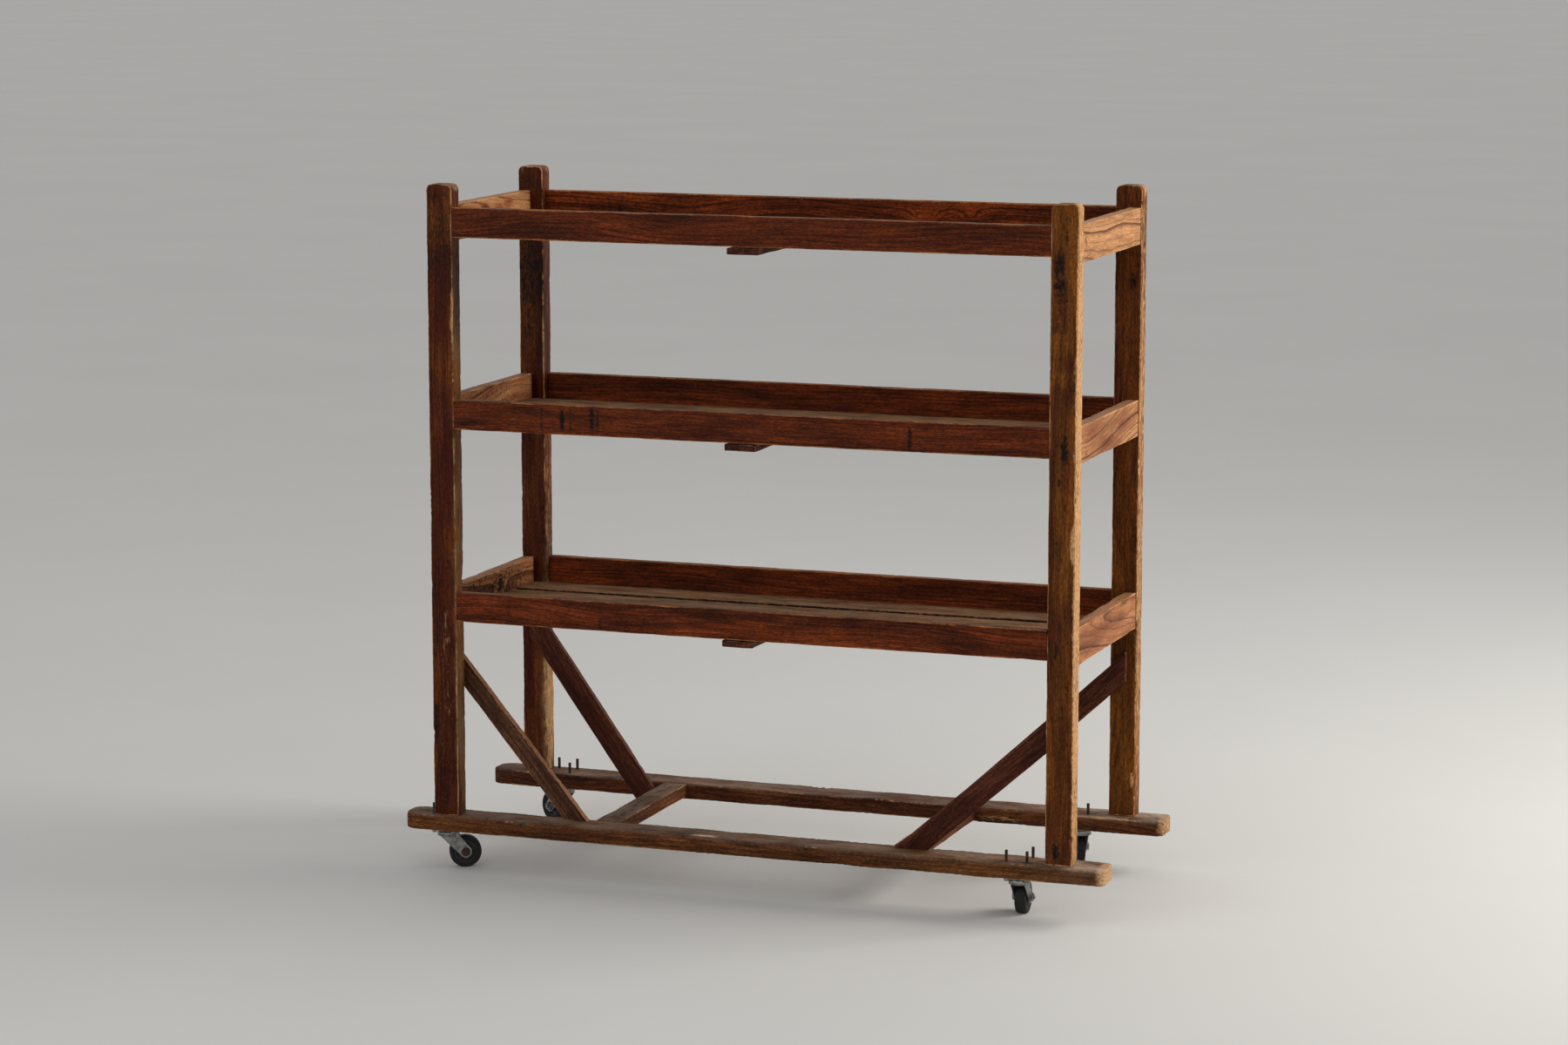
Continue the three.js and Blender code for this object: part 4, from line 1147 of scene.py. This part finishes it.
def make_stretchers():
    """Two stretchers between the runners."""
    for i, end in enumerate(("left", "right")):
        node = f"stretcher_{end}"
        place, size = member(node, Y, X, RUNNER_SPAN)
        chips = scars(size[0], (RIGHT_TOP, LEFT_TOP), seed=2000 + i, count=8, reach=(8, 40), bite=(0.8, 2.6))
        soil = [((60, 0, 15), (60, 26, 9), 0.5), ((-90, 10, 15), (40, 16, 9), 0.4)]
        wooden(
            node, "runner_wood", place, size, seed=2010 + 40 * i, arris=[STRETCHER_ARRIS] * 4,
            ends=BUTT_ENDS, butted=True, chips=chips, soil=soil, tone=0.45, dust=0.7,
        )


# Braces: length runs up the slope, width across it and depth back
UPPER_BACK, UPPER_FRONT = 0, 3
BRACE_ARRIS = [1.8 * MM, 1.4 * MM, 1.4 * MM, 1.8 * MM]
BRACE_ENDS = (0.6 * MM, 0.8 * MM)
BRACES = {
    "front_left": dict(tone=0.95, pith=(95, 6), bare=[((0, 23, 0), (900, 2.4, 60), 0.85)]),
    "front_right": dict(tone=0.12, pith=(6, 40), shelter=1.8 * MM),
    "back_left": dict(tone=0.08, pith=(6, 40), shelter=1.8 * MM),
    "back_right": dict(tone=0.2, pith=(6, 40), shelter=1.0 * MM),
}


def make_braces():
    """Four sloping braces, sawn to the runner at the foot and upright at the head."""
    for i, corner in enumerate(CORNERS):
        node = f"brace_{corner}"
        place, size = sloping(node)
        edges = (UPPER_BACK, UPPER_FRONT)
        chips = scars(size[0], edges, seed=2100 + i, count=10, reach=(8, 40), bite=(0.5, 1.8))
        wear = dict(BRACES[corner])
        pith = heart(*wear.pop("pith"), 0.004, 0.01)
        wooden(
            node, "brace_wood", place, size, seed=2110 + 40 * i, arris=BRACE_ARRIS, ends=BRACE_ENDS,
            chips=chips, pith=pith, dust=0.35, **wear,
        )


make_posts()
make_long_rails()
make_end_rails()
make_slats()
make_battens()
make_runners()
make_stretchers()
make_braces()


# Metal and rubber finishes

def patina():
    """Uneven metal: slow clouds of dullness, fine scratches and rust that gathers in spots."""
    tree, given, give = group("patina", "Place", {"Rust": 0.2}, ("Cloud", "Scratch", "Rust"))
    spot = mottle(tree, given["Place"], (140.0, 140.0), 5.0, 0.7)
    level = sum_of(tree, "SUBTRACT", 0.85, times(tree, given["Rust"], 0.5))
    give(
        Cloud=mottle(tree, given["Place"], (90.0, 90.0), 4.0, 0.6),
        Scratch=mottle(tree, given["Place"], (300.0, 2400.0, 900.0), 2.0, 0.6),
        Rust=ease(tree, spot, level, sum_of(tree, "ADD", level, 0.1)),
    )
    return tree


PATINA = patina()
METAL_RELIEF = 0.3 * MM
RUBBER_RELIEF = 0.2 * MM


def metal(name, clean, dull, rust_colour, rust, rough):
    """A plated metal: colour and gloss that dull in clouds, rust in spots, and a relief of scratches."""
    def feeds(tree):
        """Inputs of the surface, from the clouds, the scratches and the rust."""
        place = add(tree, "ShaderNodeTexCoord").outputs["Object"]
        worn = use(tree, PATINA, {"Place": place, "Rust": rust})
        colour = blend(tree, ease(tree, worn["Cloud"], 0.3, 0.7), clean, dull)
        colour = blend(tree, worn["Rust"], colour, rust_colour)
        gloss = ease(tree, worn["Cloud"], 0.3, 0.75, rough - 0.1, rough + 0.15)
        gloss = sum_of(tree, "MULTIPLY_ADD", worn["Rust"], 0.35, gloss, True)
        shiny = sum_of(tree, "SUBTRACT", 1.0, worn["Rust"])
        normal = relief(tree, 0.25, METAL_RELIEF, worn["Scratch"])
        return {"Base Color": colour, "Metallic": shiny, "Roughness": gloss, "Normal": normal}

    return surfaced(name, feeds)


def rubber(name, dark, dusty, rough):
    """Rubber or moulded plastic with scuffs and floor dust."""
    def feeds(tree):
        """Inputs of the surface, from scuffs and a fine grain."""
        place = add(tree, "ShaderNodeTexCoord").outputs["Object"]
        scuff = mottle(tree, place, (160.0, 160.0), 5.0, 0.65)
        fine = mottle(tree, place, (1400.0, 1400.0), 2.0, 0.6)
        colour = blend(tree, ease(tree, scuff, 0.45, 0.75), dark, dusty)
        gloss = ease(tree, scuff, 0.3, 0.7, rough - 0.1, rough + 0.12)
        normal = relief(tree, 0.3, RUBBER_RELIEF, fine)
        return {"Base Color": colour, "Roughness": gloss, "Normal": normal, "Specular IOR Level": 0.3}

    return surfaced(name, feeds)


RUST = paint(92, 48, 26)
ZINC = metal("zinc_steel", paint(158, 160, 158), paint(108, 110, 107), RUST, 0.25, 0.34)
BRIGHT_ZINC = metal("bright_race", paint(206, 207, 204), paint(164, 165, 162), RUST, 0.1, 0.26)
OLD_IRON = metal("old_iron", paint(70, 62, 56), paint(48, 42, 38), RUST, 0.75, 0.55)
RUSTY_NUT = metal("rusty_nut", paint(92, 74, 66), paint(66, 48, 42), paint(66, 38, 28), 0.9, 0.5)
TYRE = rubber("tyre_rubber", paint(26, 25, 26), paint(52, 49, 48), 0.7)
HUB = rubber("wheel_hub", paint(44, 44, 46), paint(68, 67, 66), 0.42)


# Casters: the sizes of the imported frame's own, with heights from the top of the plate
PLATE_SIZE = 60 * MM
PLATE_THICKNESS = 3 * MM
PLATE_CORNER = 6 * MM
PLATE_SOFT = 0.5 * MM
BOLT_PITCH = 48 * MM
BOLT_RADIUS = 3.7 * MM
BOLT_RISE = 26 * MM
BOLT_SUNK = 6 * MM
BOLT_FLAT = 5 * MM
BOLT_HEAD = 4 * MM
THREAD_PITCH = 1.0 * MM
THREAD_DEPTH = 0.55 * MM
RACE_RADIUS = 20 * MM
CROWN_RADIUS = 25 * MM
CROWN_MIDDLE = -7.5 * MM
CROWN_TOP = -6 * MM
CROWN_DEPTH = 3 * MM
LEG_MIDDLE = 15.85 * MM
LEG_THICKNESS = 2.5 * MM
LEG_OUTER = 17.1 * MM
LEG_BEND = 4.5 * MM
LEG_SOFT = 0.7 * MM
LEG_TIP = 0.3 * MM
LEG_FOOT = 0.15 * MM
CUP_RIM = -17 * MM
CUP_WALL = 2.5 * MM
CUP_BEND = 3.5 * MM
CUP_LIP = 3 * MM
BOSS_RADIUS = 14 * MM
WHEEL_RADIUS = 37.5 * MM
TYRE_HALF = 13 * MM
TYRE_INNER = 26 * MM
TYRE_SOFT = 4 * MM
AXLE_RADIUS = 5 * MM
WASHER_RADIUS = 10.4 * MM
WASHER_THICKNESS = 1.2 * MM
NUT_FLAT = 8.5 * MM
NUT_HEIGHT = 5.3 * MM
HEAD_HEIGHT = 6.4 * MM
AXLE_TAIL = 3.5 * MM
RIB_COUNT = 6
LONG_BOLTS = {
    "front_left": ((-1, -1), (-1, 1)),
    "front_right": ((-1, -1), (1, -1), (1, 1)),
    "back_left": ((1, -1), (-1, 1), (1, 1)),
    "back_right": ((-1, -1), (1, -1), (-1, 1)),
}

# Profiles of turned parts: radius, and height or width
RACE = np.array([(-8, 0.1), (-0.8, 0), (0, -0.7), (0, -1.8), (-0.8, -2.5), (-8, -2.5)]) * MM
RACE += (RACE_RADIUS, 0)
KINGPIN = np.array([(8, 0), (8, -1), (7, -2.2), (4.5, -2.6)]) * MM
TYRE_WALL = np.array([(0, -0.6), (1.2, 0), (3.4, 0), (4, -0.9), (5, -0.9), (5.6, 0)]) * MM
TYRE_WALL += (TYRE_INNER, TYRE_HALF)
TREAD = np.array([(WHEEL_RADIUS, 4 * MM), (WHEEL_RADIUS, 0), (WHEEL_RADIUS, -4 * MM)])
HALF_HUB = np.array([
    (5.3, 14), (8.7, 14), (9.5, 13.2), (10.3, 5.4), (11.5, 4.6), (15, 4.5),
    (19, 4.5), (21, 5.2), (21.8, 10.4), (22.4, 11), (25.35, 11), (25.75, 10.6),
]) * MM
RIB_LIFT = np.array([0, 0, 0, 0, 2.4, 3.2, 2.8, 1.0, 0, 0, 0, 0]) * MM
OTHER_SIDE = np.array([1, -1])


def boss_edge(root, axle, side, steps=24):
    """One edge of a fork leg: a straight line that touches the round boss, then an arc to the boss's foot."""
    away = root - axle
    touch = math.atan2(away[1], away[0]) + side * math.acos(BOSS_RADIUS / np.linalg.norm(away))
    foot = -TAU / 4
    if side > 0:
        touch = touch if touch > 0 else touch + TAU
        foot = TAU * 3 / 4
    sweep = np.linspace(touch, foot, steps)
    arc = axle + BOSS_RADIUS * np.stack([np.cos(sweep), np.sin(sweep)], -1)
    return np.concatenate([[root], arc])


def fork_shell(swivel, ahead, aside, trail, axle_z):
    """A swivel fork pressed from one strip: a rounded-edge bar section carried from one axle boss up a leg,
    across the round crown and down the other leg, as wide at each point as the crown's circle or the leg."""
    reach = math.sqrt(CROWN_RADIUS**2 - LEG_OUTER**2)
    axle = np.array([trail, axle_z])
    front = boss_edge(np.array([reach, CROWN_MIDDLE]), axle, -1)
    back = boss_edge(np.array([-reach, CUP_RIM]), axle, 1)
    back = np.concatenate([[[-reach, CROWN_MIDDLE]], back])
    flat_y = np.linspace(0.0, LEG_MIDDLE - LEG_BEND, 10)
    turn = np.linspace(0.0, TAU / 4, 8)[1:]
    bend_y = LEG_MIDDLE - LEG_BEND + LEG_BEND * np.sin(turn)
    bend_z = CROWN_MIDDLE - LEG_BEND + LEG_BEND * np.cos(turn)
    low = axle_z - BOSS_RADIUS + LEG_FOOT
    drop = np.sin(np.linspace(0.0, 1.0, 40)[1:] * TAU / 4)
    leg_z = (CROWN_MIDDLE - LEG_BEND) + (low - CROWN_MIDDLE + LEG_BEND) * drop
    y = np.concatenate([flat_y, bend_y, np.full(len(leg_z), LEG_MIDDLE)])
    z = np.concatenate([np.full(len(flat_y), CROWN_MIDDLE), bend_z, leg_z])
    tilt = np.concatenate([np.zeros(len(flat_y)), turn, np.full(len(leg_z), TAU / 4)])
    crown = np.sqrt(np.clip(CROWN_RADIUS**2 - y**2, 0.0, None))
    on_crown = np.arange(len(y)) < len(flat_y)
    x_front = np.where(on_crown, crown, np.interp(-z, -front[:, 1], front[:, 0]))
    x_back = np.where(on_crown, -crown, np.interp(-z, -back[:, 1], back[:, 0]))
    halves = ((y, -1), (z, 1), (tilt, -1), (x_front, 1), (x_back, 1))
    y, z, tilt, x_front, x_back = (np.concatenate([v[:0:-1] * sign, v]) for v, sign in halves)
    half_width = np.maximum((x_front - x_back) / 2, LEG_TIP)
    half_depth = np.full(len(y), LEG_THICKNESS / 2)
    radii = np.minimum(LEG_SOFT, half_width * 0.4)[:, None].repeat(4, axis=1)
    flat = rounded_rings(half_width, half_depth, radii)
    x = (x_front + x_back)[:, None] / 2 + flat[..., 0]
    out_y = y[:, None] + flat[..., 1] * np.sin(tilt)[:, None]
    out_z = z[:, None] + flat[..., 1] * np.cos(tilt)[:, None]
    return skin(swivel + x[..., None] * ahead + out_y[..., None] * aside + out_z[..., None] * UP)


def plate_shell(centre):
    """A square plate with rounded corners and softened faces: four rounded rings, one above the other."""
    level = np.array([0.0, PLATE_SOFT, PLATE_THICKNESS - PLATE_SOFT, PLATE_THICKNESS])
    inset = np.array([PLATE_SOFT, 0.0, 0.0, PLATE_SOFT])
    half = PLATE_SIZE / 2 - inset
    radii = np.repeat((PLATE_CORNER - inset)[:, None], 4, axis=1)
    flat = rounded_rings(half, half, radii)
    rings = np.concatenate([flat, np.broadcast_to(level[:, None, None], flat.shape[:2] + (1,))], -1)
    return skin(rings + np.array(centre))


def cup(swivel):
    """The crown's round cup: a wall that turns in at the top by a quarter arc, carried round the kingpin."""
    turn = np.linspace(TAU / 4, 0.0, 7)
    bend = np.stack([np.cos(turn), np.sin(turn)], -1) * CUP_BEND
    bend += (CROWN_RADIUS - CUP_BEND, CROWN_TOP - CUP_BEND)
    inside = CROWN_RADIUS - CUP_WALL
    rim = [
        (CROWN_RADIUS, CUP_RIM + 0.6 * MM), (CROWN_RADIUS - 0.6 * MM, CUP_RIM),
        (inside + 0.4 * MM, CUP_RIM), (inside, CUP_RIM + 0.4 * MM),
    ]
    lip, under = inside - CUP_LIP, CROWN_TOP - CROWN_DEPTH
    return hoop([(lip, CROWN_TOP), *bend, *rim, (inside, under), (lip, under)], swivel, UP, sides=64)


def make_mount(corner, swivel):
    """A caster's plate and bolt heads, its ball race, and the long bolts that stand out of the runner."""
    under = swivel - UP * (PLATE_THICKNESS + SEAT_GAP)
    shells = [plate_shell(under)]
    for a in (-1, 1):
        for b in (-1, 1):
            at = swivel + np.array([a, b, 0.0]) * BOLT_PITCH / 2
            shells.append(nut(BOLT_FLAT, BOLT_HEAD, at - UP * (PLATE_THICKNESS + BOLT_HEAD + SEAT_GAP), UP))
    node = f"caster_plate_{corner}"
    piece(node, shells, "frame", ZINC, [node], crease=35)
    race = hoop(RACE, under, UP, sides=48)
    piece(f"caster_race_{corner}", [race], "frame", BRIGHT_ZINC, crease=30)
    rods = []
    for a, b in LONG_BOLTS[corner]:
        at = np.array([swivel[X] + a * BOLT_PITCH / 2, swivel[Y] + b * BOLT_PITCH / 2, 0.0])
        low, high = RUNNER_TOP - BOLT_SUNK, RUNNER_TOP + BOLT_RISE
        rods.append(threaded(BOLT_RADIUS, THREAD_PITCH, THREAD_DEPTH, low, high, at))
    piece(f"caster_bolts_{corner}", rods, "frame", OLD_IRON)


def make_fork(corner, swivel, axle, ahead, aside, trail):
    """A caster's fork with its cup and kingpin, and the axle bolt with its washer and nut."""
    fork = [
        fork_shell(swivel, ahead, aside, trail, axle[Z] - swivel[Z]),
        spun(*KINGPIN.T, swivel + UP * (CROWN_TOP - CROWN_DEPTH), UP, sides=28),
        cup(swivel),
    ]
    node = f"caster_fork_{corner}"
    piece(node, fork, f"fork_{corner}", ZINC, [node])
    seat = LEG_OUTER + SEAT_GAP
    nutward = -aside if corner.startswith("front") else aside
    stack = seat + WASHER_THICKNESS + NUT_HEIGHT
    bolt = [
        disc(WASHER_RADIUS, WASHER_THICKNESS, axle + nutward * seat, nutward),
        nut(NUT_FLAT, NUT_HEIGHT, axle + nutward * (seat + WASHER_THICKNESS), nutward),
        disc(AXLE_RADIUS, AXLE_TAIL, axle + nutward * stack, nutward, sides=20),
        nut(NUT_FLAT, HEAD_HEIGHT, axle - nutward * (seat + HEAD_HEIGHT), nutward),
        disc(AXLE_RADIUS, 2 * seat - 2 * SEAT_GAP, axle - nutward * (seat - SEAT_GAP), nutward, sides=20),
    ]
    finish = RUSTY_NUT if corner == "front_left" else ZINC
    node = f"caster_axle_{corner}"
    piece(node, bolt, f"fork_{corner}", finish, [node], crease=30)


def make_wheel(corner, axle, aside):
    """A wheel: a rubber tyre with soft shoulders and a grooved wall, on a ribbed hub."""
    shoulder = np.linspace(0.0, TAU / 4, 7)
    rise = WHEEL_RADIUS - TYRE_SOFT + TYRE_SOFT * np.sin(shoulder)
    side = TYRE_HALF - TYRE_SOFT + TYRE_SOFT * np.cos(shoulder)
    right = np.concatenate([TYRE_WALL, np.stack([rise, side], -1)])
    tyre = hoop(np.concatenate([right, TREAD, right[::-1] * OTHER_SIDE]), axle, aside)
    node, body = f"tyre_{corner}", f"wheel_{corner}"
    piece(node, [tyre], body, TYRE, [node], crease=40)
    profile = np.concatenate([HALF_HUB, HALF_HUB[::-1] * OTHER_SIDE])
    hub = hoop(profile, axle, aside, ribs=np.concatenate([RIB_LIFT, -RIB_LIFT[::-1]]))
    node = f"wheel_hub_{corner}"
    piece(node, [hub], body, HUB, [node], crease=35)


def make_casters():
    """Four swivel casters: mounts on the frame, forks on the swivels, wheels on the axles."""
    for corner in CORNERS:
        swivel = np.array(JOINTS[f"swivel_{corner}"]["pos_m"])
        axle = np.array(JOINTS[f"roll_{corner}"]["pos_m"])
        ahead = (axle - swivel) * np.array([1.0, 1.0, 0.0])
        trail = np.linalg.norm(ahead)
        ahead /= trail
        aside = np.cross(UP, ahead)
        make_mount(corner, swivel)
        make_fork(corner, swivel, axle, ahead, aside, trail)
        make_wheel(corner, axle, aside)


make_casters()


# Nails: small domed heads under the battens, and the shanks of two long ones
NAIL_RADIUS = 2.6 * MM
NAIL_OFFSET = np.array([18, 14]) * MM
SHANK_RADIUS = 1.4 * MM
SHANK_SUNK = 1 * MM
SHANK_SHARES = (0.3, 0.72)


def nail(at, axis):
    """A nail head: a low dome that stands a little out of the wood."""
    radius = np.array([1.0, 1.0, 0.86, 0.5]) * NAIL_RADIUS
    level = np.array([-1.2, 0.1, 0.45, 0.6]) * MM
    return spun(radius, level, at, axis, sides=12)


def make_nails():
    """Nails up through the battens into the slats, and two from the top batten up into the front rail."""
    shells = []
    for tray in TRAYS:
        low, high = box(f"bearer_{tray}")
        for k in SLATS:
            slat_low, slat_high = box(f"slat_{tray}_{k}")
            x, y = (low[X] + high[X]) / 2, (slat_low[Y] + slat_high[Y]) / 2
            for a in (-1, 1):
                shells.append(nail((x + a * NAIL_OFFSET[X], y + a * NAIL_OFFSET[Y], low[Z]), -UP))
    low, high = box("bearer_top")
    rail_low, rail_high = box("front_rail_top")
    rise = rail_low[Z] - high[Z] + 2 * SHANK_SUNK
    for share in SHANK_SHARES:
        at = (low[X] + share * (high[X] - low[X]), (rail_low[Y] + rail_high[Y]) / 2, high[Z] - SHANK_SUNK)
        shells.append(disc(SHANK_RADIUS, rise, at, UP, sides=10))
    piece("batten_nails", shells, "frame", OLD_IRON)


make_nails()


# Floor, light and camera
FLOOR_NEAR, FLOOR_REACH = 0.2, 90.0
FLOOR_SIDES, FLOOR_STEPS = 96, 28
FLOOR_TONE = paint(216, 215, 212)
AMBIENT = 0.53
WHITE = (1.0, 1.0, 1.0, 1.0)
BACKDROP = paint(226, 226, 224)
LAMPS = {
    "window": dict(
        at=(4.6, 1.6, 2.9), towards=(0.0, 0.0, 0.7), size=3.0, power=210.0, tint=(1.0, 0.96, 0.9),
    ),
    "front_fill": dict(
        at=(-3.0, -6.0, 3.4), towards=(0.0, 0.0, 0.8), size=3.5, power=50.0, tint=(0.95, 0.97, 1.0),
    ),
}
CAMERA_AT = (3.228, -8.9686, 2.324)
CAMERA_AZIMUTH, CAMERA_ELEVATION = math.radians(19.87), math.radians(8.98)
CAMERA_LENS, CAMERA_SENSOR = 95.6, 36.0


def make_floor():
    """A wide flat floor: rings of points whose radius grows by a steady ratio."""
    radius = np.geomspace(FLOOR_NEAR, FLOOR_REACH, FLOOR_STEPS)
    turn = np.arange(FLOOR_SIDES) * TAU / FLOOR_SIDES
    x, y = radius[:, None] * np.cos(turn), radius[:, None] * np.sin(turn)
    points = np.concatenate([np.stack([x, y, x * 0], -1).reshape(-1, 3), [[0.0, 0.0, 0.0]]])
    number = np.arange(FLOOR_STEPS * FLOOR_SIDES).reshape(FLOOR_STEPS, FLOOR_SIDES)
    here, ahead = number[:-1], number[1:]
    quads = np.stack([here, ahead, np.roll(ahead, -1, 1), np.roll(here, -1, 1)], -1).reshape(-1, 4)
    middle = np.full(FLOOR_SIDES, FLOOR_STEPS * FLOOR_SIDES)
    fan = np.stack([middle, number[0], np.roll(number[0], -1)], -1)
    mesh = mesh_of("floor", [(points, quads, fan, {})])

    def feeds(tree):
        """Inputs of the surface: a grey that changes a little in slow clouds."""
        place = add(tree, "ShaderNodeTexCoord").outputs["Object"]
        cloud = mottle(tree, place, (0.7, 0.7), 4.0, 0.6)
        grey = shaded(tree, FLOOR_TONE, cloud, (0.3, 0.7), (0.97, 1.0))
        return {"Base Color": grey, "Roughness": 0.75, "Specular IOR Level": 0.2}

    mesh.materials.append(surfaced("studio_floor", feeds))
    put("floor", mesh)


def make_world():
    """Even light all round, and a pale backdrop for what looks straight at it or mirrors it."""
    world = bpy.data.worlds.new("studio")
    world.use_nodes = True
    tree = world.node_tree
    tree.nodes.clear()
    path = add(tree, "ShaderNodeLightPath").outputs
    seen = sum_of(tree, "MAXIMUM", path["Is Camera Ray"], path["Is Glossy Ray"])
    seen = sum_of(tree, "MAXIMUM", seen, path["Is Transmission Ray"])
    dim = add(tree, "ShaderNodeBackground", None, {"Color": WHITE, "Strength": AMBIENT})
    pale = add(tree, "ShaderNodeBackground", None, {"Color": BACKDROP, "Strength": 1.0})
    both = add(tree, "ShaderNodeMixShader", None, {0: seen, 1: dim.outputs[0], 2: pale.outputs[0]})
    end = tree.nodes.new("ShaderNodeOutputWorld")
    tree.links.new(both.outputs[0], end.inputs["Surface"])
    bpy.context.scene.world = world


def stand(name, data, right, back, at):
    """A lamp or camera at a place, turned by its right, up and back axes: up is back crossed with right."""
    turn = np.eye(4)
    turn[:3, 0], turn[:3, 1], turn[:3, 2], turn[:3, 3] = right, np.cross(back, right), back, at
    holder = put(name, data)
    holder.matrix_world = Matrix(turn.tolist())
    return holder


def softbox(name, at, towards, size, power, tint):
    """A square area lamp that faces a point."""
    lamp = bpy.data.lights.new(name, "AREA")
    lamp.shape = "SQUARE"
    lamp.size = size
    lamp.energy = power
    lamp.color = tint
    back = np.array(at) - np.array(towards)
    back /= np.linalg.norm(back)
    right = np.cross(UP, back)
    right /= np.linalg.norm(right)
    stand(name, lamp, right, back, at)


def make_camera():
    """The photograph's viewpoint: right of the front and a little above, with a long lens."""
    level = math.cos(CAMERA_ELEVATION)
    right = np.array([math.cos(CAMERA_AZIMUTH), math.sin(CAMERA_AZIMUTH), 0.0])
    back = np.array([right[1] * level, -right[0] * level, math.sin(CAMERA_ELEVATION)])
    lens = bpy.data.cameras.new("camera")
    lens.lens = CAMERA_LENS
    lens.sensor_width = CAMERA_SENSOR
    bpy.context.scene.camera = stand("camera", lens, right, back, CAMERA_AT)


make_floor()
make_world()
for name, lamp in LAMPS.items():
    softbox(name, **lamp)
make_camera()
bpy.context.scene.view_settings.view_transform = "Standard"
